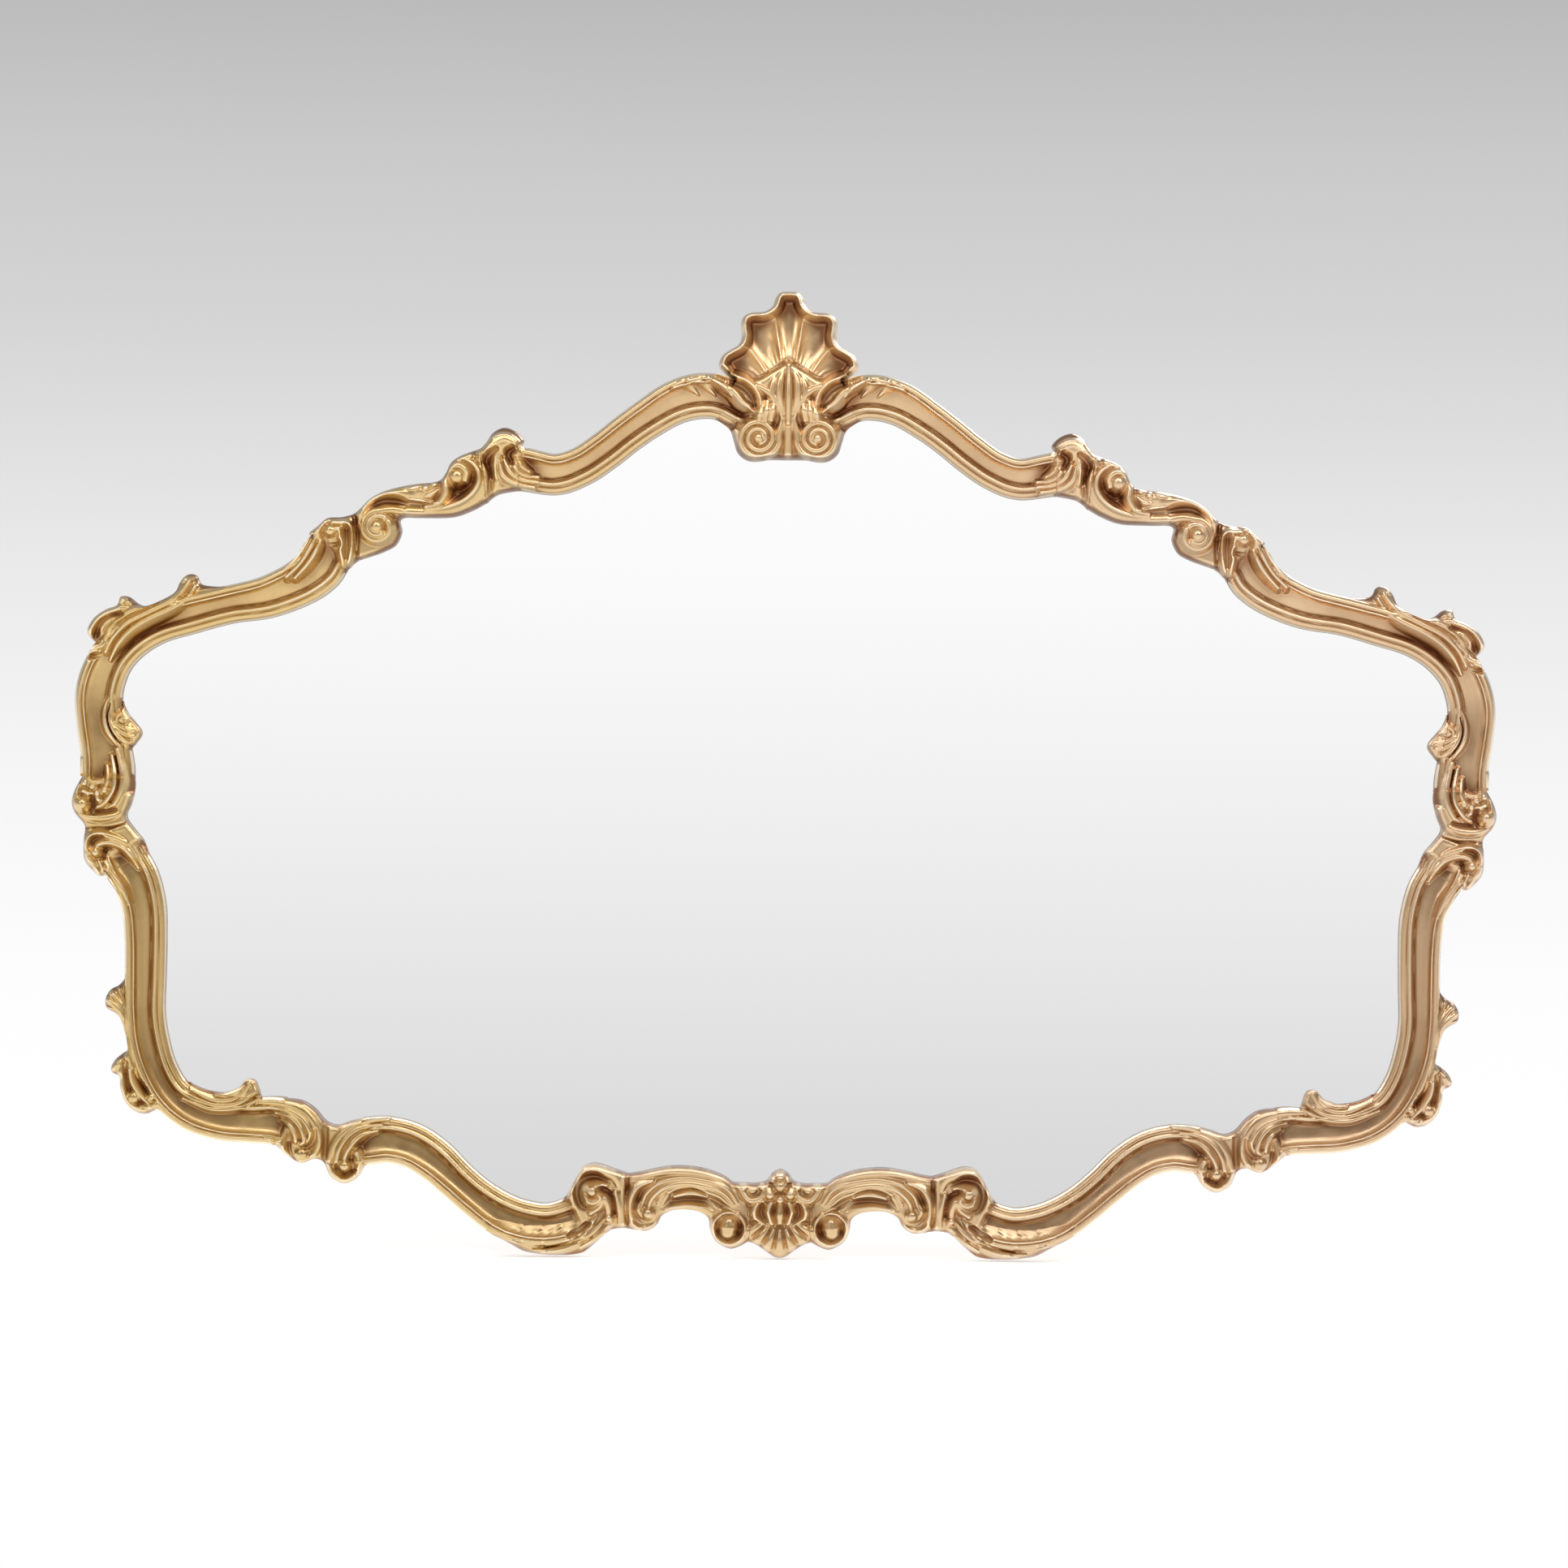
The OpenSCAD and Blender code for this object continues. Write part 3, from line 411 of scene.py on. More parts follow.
carving["upperKnuckle"] = [
    roll((6, 9, 12, 12, 8), (22, 26, 29, 28.5, 24),
         (301, 288), (300, 305), (291, 319), (278, 323), (264, 317)),
    vein((0.8, 1.7, 1.7, 0.8), 1.5, (262, 323), (270, 330), (281, 332.5), (293, 327)),
    vein((0.8, 1.5, 1.5, 0.8), 1.2, (266, 319), (273, 324.5), (281, 326), (290, 321)),
    roll((2.6, 4.6, 4.6, 3), (24, 27.5, 26.5, 22),
         (276, 313), (283, 314.5), (288.5, 308), (290, 298), (285, 287)),
    gouge((0.8, 2, 2.2, 1), (22, 16, 14.5, 19),
          (287, 317), (293.5, 311), (296, 301), (293, 291), (287, 284)),
    roll((1.4, 2.4, 2.2, 1.2), (26, 26.5, 22, 16), (284, 306), (280, 292), (268, 284), (250, 281)),
    roll((1.4, 2.4, 2.2, 1.2), (26, 26.5, 22, 16), (278, 307), (273, 295), (262, 288), (246, 286)),
    roll((1.4, 2.4, 2.2, 1.2), (26, 26.5, 22, 16), (272, 308), (267, 298), (258, 292), (246, 291)),
    roll((1.2, 2, 1.6), (25, 25, 20), (266, 309), (262, 301), (255, 296)),
    dome(4.4, 27.5, 266, 313.5),
    gouge((1.2, 2, 1.2), 17.5, (270.5, 317.5), (275, 313), (272, 306)),
    roll(3.4, (22, 18), (286, 285), (286, 274)),
    cut(4.6, 3, (300, 320), (297.5, 300), (294.5, 284), (292, 272)),
]

carving["upperScroll"] = [
    roll((6, 8, 8, 7.5, 7, 6), (20, 21, 20, 19, 19, 20),
         (308, 308), (301, 292), (306, 272), (324, 259), (348, 254), (374, 255)),
    gouge((4, 6, 5, 3), (13, 12, 13, 14), (312, 280), (322, 272), (334, 267), (345, 263)),
    gouge((3, 4.4, 4.4, 3), (13, 9.5, 9.5, 13),
          (321, 303), (311, 298), (309, 288), (315, 280), (325, 278), (334, 280)),
    roll((1.2, 1.8, 1.8, 1.8, 1.2), (24, 26, 26, 24, 20),
         (324, 309), (312, 305), (304.5, 296), (304, 285), (310, 274), (322, 265), (340, 259),
         (356, 257)),
    dome(12, 24, 326, 292),
    dome(7.4, 30, 325.5, 290.5),
    roll((2, 3, 3, 2.4, 1.6), (25, 28.5, 28.5, 27, 24),
         (317, 287), (316.5, 295), (322, 300.5), (330, 300), (335.5, 293), (334, 284)),
    roll((2.4, 3.8, 3.6, 2), (24, 27, 27, 26),
         (313, 311), (325, 309), (335.5, 303), (340, 294), (336, 284)),
    roll((4, 6.5, 6), (20, 24, 23), (343, 282), (356, 275), (376, 275)),
    roll((1.4, 2.6, 2.6, 1.4), (25, 28, 27, 22),
         (341, 291), (336.5, 283), (337, 273), (343, 264), (356, 260)),
    dome(3.8, 27, 348.5, 284.5),
    dome(3.4, 26.5, 356, 279),
    roll((1.6, 3.4, 1.6), (24, 27.5, 24), (357, 285), (367, 280.5), (379, 280)),
    roll((1.2, 2.4, 1.2), (23, 26, 23), (344, 277), (352, 271.5), (362, 271)),
    roll((4, 5.5, 6.5, 6, 5, 3.5), (21, 24, 25, 25, 24, 20),
         (352, 267), (372, 272), (393, 274), (409, 268), (419, 255), (421, 240)),
    vein((0.8, 1.8, 1.8, 0.8), 2.4,
         (344, 264), (370, 267), (392, 270.5), (406, 264), (415, 252), (416, 242)),
    vein((0.8, 1.8, 1.8, 0.8), 1.6, (366, 277), (388, 279), (404, 275), (418, 264), (424, 250)),
    gouge((0.8, 2.2, 2.4, 1.6, 0.8), (17, 13.5, 13, 14, 17),
          (368, 261.5), (386, 265), (400, 264.5), (410, 258), (415.5, 247)),
    dome(19, 22, 402, 240),
    roll((4, 3.6, 3.4, 3, 2.6), (19, 22, 24.5, 26, 27),
         (372, 254), (388, 257), *spiral(403, 240, (15.5, 7.5), (95, -480))),
    dome(6.5, 30, 404, 240),
    cut((1, 2, 1), 2, (381, 249), (390, 250), (396, 246)),
]

carving["shoulderKnuckle"] = [
    roll((3, 4.5, 4.5, 3), (20, 24, 25, 23), (431, 252), (445, 251), (459, 245), (469, 233)),
    roll((2, 2.8, 2.8, 1.6), (25, 27, 25, 19),
         (447, 244), (436, 243), (430.5, 235), (430, 220), (431, 204)),
    roll((2, 2.6, 2.4, 1.4), (26, 27, 24, 18),
         (447, 237), (440, 237), (437.5, 228), (438, 214), (437, 202)),
    gouge((1, 1.8, 1), 16, (434, 238), (433.5, 226), (434, 208)),
    dome(5.2, 28, 449.5, 236),
    roll((2, 3.4, 2.4), (27, 27, 23), (456, 245), (462.5, 237), (461, 227)),
    gouge((1, 2.4, 1), 14, (443, 223), (452, 221), (462, 222)),
    roll((1, 2, 1.8, 1), (25, 26, 25, 23.5), (463, 231), (470, 217), (479, 203), (492, 190)),
    roll((1, 2, 1.8, 1), (25, 26, 25, 23.5), (468, 233), (475, 220), (485, 206), (497, 194)),
    roll((1, 2, 1.6, 0.8), (24, 25, 24, 21), (459, 226), (465, 213), (473, 201), (484, 189)),
    cut(4.4, 3.2, (426, 256), (424.5, 240), (424, 224), (424, 206)),
]

carving["shoulderLeaf"] = [
    roll((4, 6, 4.5), (15, 19, 22), (582, 190), (588, 185), (597, 172)),
    dome(5.4, 21, 595, 187),
    roll((1.2, 2.4, 2.6, 2.4, 2, 1), (20, 24, 25, 24.5, 22, 14),
         (582, 180), (591, 167), (606, 157.5), (628, 147), (646, 135), (658, 121), (666, 106)),
    roll((1.2, 2.4, 2.6, 2.4, 2, 1), (21, 25, 26, 25.5, 24.5, 20),
         (588, 185), (596, 173), (608, 163.5), (628, 153.5), (648, 143), (662, 129), (670, 114)),
    roll((1.2, 2.4, 2.6, 2.4, 1.4), (21, 24, 25, 25, 23),
         (597, 187), (602, 176), (611, 169), (630, 160), (650, 151.5), (664, 139), (671, 127)),
    roll((2, 3, 3), (16, 18, 18), (638, 160), (647, 163), (654, 165)),
    dome(6.5, 21, 655, 166),
    dome(3, 19, 662, 161),
    gouge((0.8, 2.4, 3.2, 2.2, 0.8), (16, 13, 12, 13, 16),
          (656, 152.5), (667, 149), (676, 141), (680, 131), (679, 124)),
    roll((2, 3, 3.2, 3, 2), (20, 23, 24, 23, 21),
         (644, 158), (662, 156.5), (677, 149), (685.5, 136), (685, 123)),
    roll((1, 2, 2, 1), (20, 21.5, 21, 18), (656, 149), (666, 145), (672.5, 138), (674, 129)),
    roll((1.6, 2.8, 2.6, 1.6), (22, 25, 25, 22), (668, 128), (673, 121), (681, 119), (687, 124)),
    dome(4.4, 24, 680, 115),
    gouge((0.8, 1.4, 0.8), 16, (672, 112), (680, 109.5), (688, 111)),
]

carving["sightLeaf"] = [
    roll((6, 6, 4), (10, 13, 12), (646, 27), (648, 38), (655, 50)),
    *[roll((1, 2.2, 2), (10, 15, 15), *line) for line in (
        [(640, 25), (650, 26), (661, 36)],
        [(636, 32), (648, 32), (661, 40)],
        [(638, 39), (648, 38), (660, 44)],
    )],
    roll((2.4, 1.8, 1.4), (14, 16, 17), *spiral(653, 49, (6, 2.6), (-60, 330))),
    dome(2.2, 18, 653, 49),
    roll((0.8, 2, 2.2, 1.6), (11, 14, 16, 12), (662, 72), (666, 56), (663, 40), (650, 22)),
    roll((0.8, 2, 2.2, 1.4), (13, 16, 17, 12), (667, 70), (671, 54), (668, 38), (656, 20)),
    cut((0.6, 1.2, 1), 3, (665, 64), (668, 50), (664, 36), (655, 24)),
]

carving["sideKnuckle"] = [
    roll((3, 4.5, 4.5, 3), (23, 24, 24, 20), (691, 8), (696, -10), (699, -26), (695, -44)),
    roll((1.8, 2.6, 2.6, 2), (15, 19, 22, 21),
         (658, 18), (653, -2), (653, -20), (660, -36), (670, -45)),
    roll((1.4, 2.6, 2.6, 2), (16, 22, 24, 22),
         (663, 12), (659.5, -6), (660.5, -21), (668, -33), (678, -40)),
    roll((1.4, 2.4, 2), (18, 23, 22), (667, 2), (666, -12), (671, -25)),
    cut((0.6, 1.3, 1.3), 4, (660, 12), (656.5, -4), (657, -20), (664, -34)),
    roll((1.4, 2.2, 2.2, 1.4), (18, 21, 22, 21), (665, -6), (672, -13.5), (682, -14), (690, -8)),
    dome(3.4, 25, 669, -22),
    dome(3, 26, 676, -25),
    dome(3.2, 25, 681, -18.5),
    dome(3, 25, 688.5, -15),
    roll((1.4, 2.4, 1.6), (24, 26, 24), (674, -32), (682, -27), (690, -23)),
    gouge((1, 2.4, 2.2, 1), (17, 13, 13, 16), (681, -30), (682.5, -38), (689, -44.5), (696, -42)),
    dome(5.8, 30, 691, -35.5),
    gouge((0.8, 1.6, 0.8), 15, (658, -41), (667, -43), (678, -43.5)),
    roll((2, 3.4, 3, 2), (18, 23, 23, 20), (652, -44), (667, -49), (682, -49), (693, -46)),
    roll((2, 2.4, 2), (17, 20, 18), (650, -51), (669, -56), (689, -54)),
    cut(1.4, 4, (648, -54), (668, -60), (690, -58.5)),
    roll((2, 2.2, 2), (17, 19, 18), (646, -59), (666, -63), (684, -61)),
    gouge((1, 2.4, 2.6, 1.4), (16, 13, 13, 15), (655, -79), (666, -77), (671, -84), (669, -94)),
    roll((2, 3, 3.2, 2.8, 2), (12, 18, 24, 26, 24),
         (634, -92), (645, -76), (660, -68.5), (676, -66), (686, -74), (684, -84)),
    gouge((0.8, 1.8, 0.8), 16, (672, -70.5), (679.5, -72), (681, -79)),
    roll((1.2, 2.2, 2.2, 1.6), (13, 22, 25, 25),
         (636, -98), (648, -80), (662, -73.5), (674, -75.5), (678, -81)),
    dome(4, 27, 677, -83),
    roll((2, 3, 2), (24, 24, 20), (686, -84), (682, -92), (674, -97)),
    *[roll((1, 2.1, 1.8, 0.8), (22, 24.5, 24.5, 22), *line) for line in (
        [(668, -92), (662, -103), (651, -118), (644, -134)],
        [(674, -92), (668, -104), (658, -118), (649, -134)],
        [(680, -94), (674, -105), (664, -118), (652, -130)],
    )],
]

carving["cornerLeaf"] = [
    roll((6, 6), (15, 16), (655, -222), (664, -228)),
    *[roll((1, 2.2, 2.6, 1.8), (22, 23, 20, 17), *line) for line in (
        [(641, -262), (643, -244), (648, -229), (654, -216)],
        [(643, -262), (646, -242), (654, -229), (664, -218)],
        [(645, -262), (649, -243), (659, -232), (670, -225)],
        [(646, -264), (650, -248), (658, -239), (669, -237)],
    )],
    roll((2, 4, 4.5, 3), (22, 24, 24, 22), (642, -256), (642, -272), (641, -290), (634, -310)),
    roll((3, 5.6, 4.4), (17, 21, 19), (648, -284), (654, -291), (660, -297)),
    gouge((0.8, 1.4, 0.8), 15, (650, -302), (655, -303), (661, -301)),
    gouge((0.8, 1.8, 2, 0.8), (18, 15, 14, 17),
          (645.5, -290), (646, -305), (641, -318), (633, -326)),
    roll((1.6, 3, 3, 2), (20, 23, 23, 20),
         (650, -292), (650.5, -308), (647, -323), (638, -334), (626, -337)),
    gouge((0.8, 1.6, 1.6, 0.8), (19, 15, 15, 18),
          (637, -298), (633, -309), (626, -319), (618, -326)),
    roll((1.4, 2.6, 2.4, 1.4), (24, 24, 23, 21),
         (641, -296), (638, -309), (631, -321), (622, -330)),
    dome(6, 24, 637.5, -324),
    dome(3.6, 25, 619.5, -323.5),
    dome(3.4, 25, 615, -330.5),
    roll((1.6, 3, 1.6), (20, 22, 19), (610, -337), (620, -334), (630, -333)),
]

carving["cornerCurl"] = [
    roll((7, 7, 4), (11, 13, 12), (518, -316), (532, -322), (556, -328)),
    *[roll((1.2, 2.2, 2.2, 0.9), (11, 15, 15, 13), *line) for line in (
        [(513, -322), (520, -328), (536, -334), (562, -335), (590, -325)],
        [(516, -313), (523, -322), (538, -330), (562, -330.5), (588, -319)],
        [(524, -307), (529, -317), (541, -325.5), (560, -326), (582, -316)],
        [(531, -309), (535, -316), (545, -321.5), (558, -322)],
    )],
    dome(4, 14, 546, -316),
]

carving["lowerKnuckle"] = [
    roll((3, 4, 4.5, 4, 3), (12, 17, 20, 22, 22),
         (514, -328), (490, -329), (471, -336), (458, -350), (455, -368), (461, -381)),
    roll((1, 2.4, 2.8, 2.2), (14, 20, 24, 24),
         (506, -333), (485, -335.5), (470.5, -344), (463, -357), (464, -368)),
    roll((1, 2.4, 2.6, 2), (14, 22, 25, 25),
         (498, -338), (483, -341.5), (473, -351), (469, -362), (471, -369)),
    roll((1, 2.2, 2.2, 1.6), (16, 23, 25, 25),
         (492, -344), (484, -349), (478.5, -357), (477, -365)),
    gouge((1, 2, 2, 1), (19, 17, 16, 18), (458, -354), (459.5, -365), (467, -373), (478, -373)),
    dome(7, 23, 472, -378.5),
    roll((2, 3.4, 3.6, 2), (22, 24, 24, 20),
         (463, -384), (475, -387), (486, -380), (490.5, -367), (487, -355)),
    gouge((0.8, 1.4, 0.8), 15, (478, -384), (483, -376), (484, -367)),
    roll((1, 1.8, 1), (22, 25, 24), (490, -371), (497, -366), (508, -363)),
    roll((3, 4, 4.5, 4, 3), (12, 17, 20, 22, 22),
         (388, -343), (408, -345), (426, -353), (438, -366), (444, -384)),
    roll((1, 2.4, 2.8, 2.2), (14, 20, 24, 24),
         (394, -349), (412, -351.5), (426, -360), (435, -374), (437, -388)),
    roll((1, 2.4, 2.6, 1.8), (14, 22, 25, 24),
         (398, -355), (411, -358), (421, -366), (427.5, -378), (430, -386)),
    gouge((0.8, 1.8, 2, 1), (20, 18, 17, 18), (415, -367), (420, -376), (423, -384), (424, -394)),
    roll((2, 3.4, 3.4, 2.4), (22, 24, 25, 24),
         (445, -388), (440, -399), (428.5, -404), (417, -398), (413, -386), (417, -377)),
    gouge((0.8, 1.6, 0.8), 15, (437, -391), (430, -397), (421, -394)),
    dome(5, 27, 429, -389),
    cut(4.8, 3.4, (449, -344), (448, -364), (450, -390)),
]

carving["baseKnuckle"] = [
    roll((3.5, 5.5, 6, 5, 3), (20, 24, 25, 24, 20),
         (158, -408), (165, -396), (181, -390.5), (196, -395), (202, -409), (199, -424)),
    roll((3, 3.2, 3, 2.6, 2), (24, 27, 28, 29, 30), *spiral(184.5, -412, (13.5, 7), (150, -330))),
    dome(5, 32, 185, -411),
    gouge((1, 2.2, 2.6, 2, 1), (17, 14, 13, 14, 17),
          (170, -402), (182, -397.5), (195, -401), (200.5, -412), (197, -426), (186, -431)),
    gouge((1, 2.6, 2.4, 1), (17, 12, 12, 16), (166, -442), (164, -426), (169, -413), (174, -410)),
    roll((1.6, 2.8, 2.8, 1.8), (20, 24, 26, 25),
         (170, -444), (169, -430), (173, -419), (178, -427), (186, -433)),
    roll((2, 3, 2), (20, 22, 22), (158, -444), (158, -428), (162, -412)),
    *[roll((1.2, 2.6, 2.4, 1), (20, 23, 22, 17), *line) for line in (
        [(164, -438), (170, -448), (181, -458), (196, -467)],
        [(172, -437), (178, -446), (188, -455), (202, -463)],
        [(180, -436), (186, -443), (194, -449), (204, -455)],
    )],
    gouge((1, 2.8, 1), 13, (190, -444), (197, -449), (206, -453)),
    dome(3.4, 25, 168.5, -438),
    *[vein((3, 7.5, 7, 2.4), (1.2, 2, 2, 1), *line) for line in (
        [(200, -443), (209, -449), (220, -456), (233, -461)],
        [(217, -447), (227, -452), (239, -458), (253, -460)],
        [(236, -449), (247, -453), (258, -456), (271, -453)],
        [(255, -448), (266, -450), (277, -448), (287, -441)],
    )],
]

carving["baseLeaf"] = [
    roll((3, 6, 6, 3), (14, 19, 19, 16), (184, -455), (205, -465), (230, -470), (262, -463)),
    cut((0.6, 1.8, 1.6, 0.6), 3, (192, -452), (208, -462), (226, -467), (244, -469)),
    vein((0.6, 1.8, 0.6), 2, (196, -462), (212, -469), (236, -473)),
    vein((0.6, 1.8, 0.6), 2, (230, -466), (248, -466), (264, -460)),
]

carving["apronArch"] = [
    roll((4, 6.5, 7, 6, 4), (17, 20, 20, 20, 18),
         (44, -408), (60, -396), (90, -391), (120, -392), (143, -400)),
    gouge((1, 3.4, 3, 1), (17, 13.5, 14, 17), (46, -428), (57, -425), (68, -418), (80, -415)),
    *[roll((1, 2.1, 2.3, 2.1, 1.2), high, *line) for high, line in (
        ((18, 22, 23, 23, 20),
         [(42, -422), (56, -406), (90, -398.5), (116, -402), (131, -413), (136, -426)]),
        ((18, 23, 24, 24, 21),
         [(45, -424), (60, -410), (90, -403), (113, -407), (126, -418), (130, -430)]),
        ((17, 21, 22, 22, 20),
         [(50, -424), (64, -413.5), (90, -407.5), (110, -411.5), (120, -422)]),
    )],
    gouge((2, 6, 7, 6, 2), (15, 11, 10.5, 11, 15),
          (66, -428), (75, -420.5), (90, -417), (105, -420.5), (115, -428)),
    roll((0.8, 1.9, 0.8), (18, 21, 19), (72, -416), (88, -412.5), (104, -416)),
    gouge((0.8, 2.4, 0.8), 17, (113, -414), (117, -421), (120, -430)),
    dome(17, 20, 50.5, -446),
    roll((2.6, 2.8, 2.6, 2.4, 2.2), (20, 23.5, 24, 24, 23),
         *spiral(50.5, -446, (15.5, 12.8), (125, 480))),
    gouge((1, 1.6, 1.6, 1), (17, 13, 13, 17), *spiral(50.8, -446, (10.6, 10), (70, 420))),
    roll((6.4, 7.4, 6.6), (27.5, 28.5, 27), (50.2, -442), (50.6, -446), (51, -450)),
    gouge((1, 3.6, 3, 1), (17, 14, 15, 17), (131, -406), (139, -412), (142, -424), (140, -434)),
    roll((1.2, 2.4, 2.4, 2), (22, 26, 26, 23),
         (126, -401), (141, -407), (148, -422), (146, -438), (138, -448)),
    dome(5, 26, 130, -433),
    roll((1.6, 3, 2), (20, 22, 20), (136, -421), (139, -429), (136, -436)),
    gouge((0.8, 1.6, 0.8), 17, (131, -441), (136, -444), (141, -441)),
    roll((2, 3.4, 2.4), (17, 20, 19), (118, -438), (126, -447), (140, -449)),
    cut(3.4, 3, (151, -396), (151, -420), (151, -449)),
    roll(2.6, 21, (155.5, -398), (155.5, -420), (155, -444)),
]

carving["apronKeystone"] = [
    dome(4.5, 25, 0, -395),
    dome(3, 23, 8, -398.5),
    roll((1.4, 2.2, 2.2, 1.4), (22, 25, 25, 22), (13, -406), (19, -416.5), (30, -419), (40, -407)),
    dome(3, 24, 17, -406),
    dome(3.4, 24, 36, -406),
    roll((2, 3.5, 2), (19, 21, 19), (22, -407), (28, -410), (33, -408)),
    dome(5.5, 27, 0, -405),
    dome(4.4, 29, 10, -413),
    dome(3.6, 28, 0, -418),
    roll((2, 3.6, 3, 1.6), (25, 28, 26, 22), (17, -420), (24, -428), (22, -438), (12, -445)),
    roll((1.6, 3, 2), (26, 28, 23), (9, -421), (13, -431), (8, -442)),
    roll((2, 3.4, 2), (25, 27, 24), (0, -424), (0, -433), (0, -443)),
    gouge((0.8, 1.4, 0.8), 18, (17, -424), (18.5, -432), (14, -440)),
    gouge(1.6, 16, (0, -447), (14, -447), (28, -443)),
    *[roll((2, 3.2, 4, 3), (21, 24, 23, 17), *line)
      for line in fan(0, -430, (19, 27, 36, 45), (-90, -34), 4)],
]

allStrokes = [mark for piece in carving.values() for mark in piece]


def smoothLine(points, steps=6):
    points = np.array(points, float)
    if len(points) < 3:
        return points
    return throughPoints(points, np.linspace(0, len(points) - 1, steps * (len(points) - 1) + 1))


def besideLine(x, z, line):            # distance from the line, and the place along it, 0 to 1
    if len(line) == 1:
        return np.hypot(x - line[0][0], z - line[0][1]), np.zeros_like(x)
    step = np.diff(line, axis=0)
    length = np.hypot(step[:, 0], step[:, 1])
    reach = np.append(0, np.cumsum(length))
    offX = x[:, None] - line[:-1, 0]
    offZ = z[:, None] - line[:-1, 1]
    t = np.clip((offX * step[:, 0] + offZ * step[:, 1]) / length**2, 0, 1)
    gap = np.hypot(offX - t * step[:, 0], offZ - t * step[:, 1])
    nearest = gap.argmin(1)
    rows = np.arange(len(x))
    return gap[rows, nearest], (reach[nearest] + t[rows, nearest] * length[nearest]) / reach[-1]


def eased(values, along):              # several numbers spread smoothly along a stroke
    if len(values) == 1:
        return np.full(len(along), float(values[0]))
    fine = np.linspace(0, len(values) - 1, 8 * len(values))
    curve = throughPoints(values[:, None].astype(float), fine)[:, 0]
    return np.interp(along, fine / fine[-1], curve)


relief = {
    "slab": 3,                # thickness of the slab that a carving starts from
    "grain": 0.6,             # how finely it is cut up
    "quickGrain": 1.1,
    "edgeRound": 6,           # rounding of the free edges, and their lip
    "edgeLip": 6,
    "sightRound": 5,
    "sightLip": 3.9,
    "lowest": 2,              # heights are kept from here to this far short of gilt's front
    "spare": 0.2,
    "reach": 1.9,             # how far around a point counts as beside it, for the patina, painted shade and painted highlight
    "shoulder": 0.8,          # a rib is round out to this share of its width, then slopes
    "draft": 1.9,             # down this steeply, over the skirt at most
    "skirt": 7,
    "wall": 1.8,              # how steep the side of a gouge is, and how dished its floor
    "dish": 0.7,
    "deepest": 10,            # no gouge goes nearer to the back than this
    "blend": 1.5,             # how softly a rib runs into what is beside it
    "jointWidth": 0.3,        # edges this near to another section's are a joint
    "jointReach": 0.8,        # points this near to a joint are moved out by jointClose
    "jointClose": 0.7,
    "jointFade": 3.5,         # and no patina, painted shade or painted highlight shows this near to one
    "plainWall": 0.2,         # nor where the gilt faces less than this to the front
    "shadeAndHighlightFade": 0.4,
    "backSkin": 0.2,          # what is cut off the slab's back to make it one flat face
    "sideFade": 1.2,          # the ground fades this much faster beside the moulding
    "runOn": 0.014,           # a moulding goes on under the carving, in places of its line
    "railStep": 0.65,         # between two sections of a moulding
    "railPoints": 76,         # across a moulding
}
grain = relief["grain"]


def ribTop(level, wide, gap):          # the height of a rib at that distance from its line
    arc = np.minimum(gap / wide, relief["shoulder"])
    top = level - wide * (1 - np.sqrt(1 - arc**2))
    return top - relief["draft"] * np.maximum(gap - relief["shoulder"] * wide, 0)


def carve(x, z, high, marks):
    high = high.copy()
    for mark in marks:
        line = smoothLine(mark["line"])
        skirt = relief["skirt"] if mark["kind"] in ("roll", "gouge") else 0
        reach = mark["wide"].max() + skirt
        low, top = line.min(0) - reach, line.max(0) + reach
        near = np.flatnonzero((x > low[0]) & (x < top[0]) & (z > low[1]) & (z < top[1]))
        if not len(near):
            continue
        gap, along = besideLine(x[near], z[near], line)
        wide, level = eased(mark["wide"], along), eased(mark["high"], along)
        within = gap < wide + skirt
        near, level, wide, gap = near[within], level[within], wide[within], gap[within]
        share = np.clip(gap / wide, 0, 1)
        old = high[near]
        if mark["kind"] == "roll":
            top = ribTop(level, wide, gap)
            merge = np.clip(relief["blend"] - abs(old - top), 0, None)**2
            high[near] = np.maximum(old, top) + merge / (4 * relief["blend"])
        elif mark["kind"] == "gouge":
            floor = np.maximum(level, relief["deepest"]) + relief["dish"] * wide * share**2
            floor += relief["wall"] * np.maximum(gap - wide, 0)
            high[near] = np.minimum(old, floor)
        elif mark["kind"] == "cut":
            high[near] = old - level * (1 - share**2)**2
        else:
            high[near] = old + level * (1 - share**2)**1.5
    return high


ornaments = {
    # node, without its side: (ground height, and how far the moulding runs on under it and
    # then fades)
    "crest_shell": (20, 18, 14),
    "upper_knuckle": (18.5, 2, 7),
    "upper_scroll": (16.5, 0, 7),
    "shoulder_knuckle": (18, 4, 7),
    "shoulder_leaf": (15, 0, 5),
    "sight_leaf": (11, 0, 5),
    "side_knuckle": (18, 10, 8),
    "corner_leaf": (14, 0, 5),
    "corner_curl": (10, 0, 5),
    "lower_knuckle": (18, 8, 8),
    "base_leaf": (12, 0, 5),
    "base_knuckle": (18, 2, 8),
    "apron_arch": (17, 0, 8),
    "apron_keystone": (18, 0, 8),
}
rails = {
    "crest_rail": "crestRun",
    "shoulder_rail": "shoulderRun",
    "side_rail": "sideRun",
    "base_rail": "baseRun",
}

fineStep = 0.04               # between two samples of the centre line, in its own places
samplePlace = np.arange(-1.5, len(centreLine) + 0.5, fineStep)
sampleHere, sampleOut = onCentreLine(samplePlace)
sampleReach = np.append(0, np.cumsum(np.hypot(*np.diff(sampleHere[:, :2], axis=0).T)))
onRun = np.zeros(len(samplePlace), bool)
for first, last in [ends for name, ends in runEnds.items() if name.endswith("Run")]:
    onRun |= (samplePlace >= first) & (samplePlace <= last)
# how far each sample lies past the nearest moulding's end, in mm
sampleBeyond = np.abs(sampleReach[:, None] - sampleReach[onRun][None, :]).min(1)


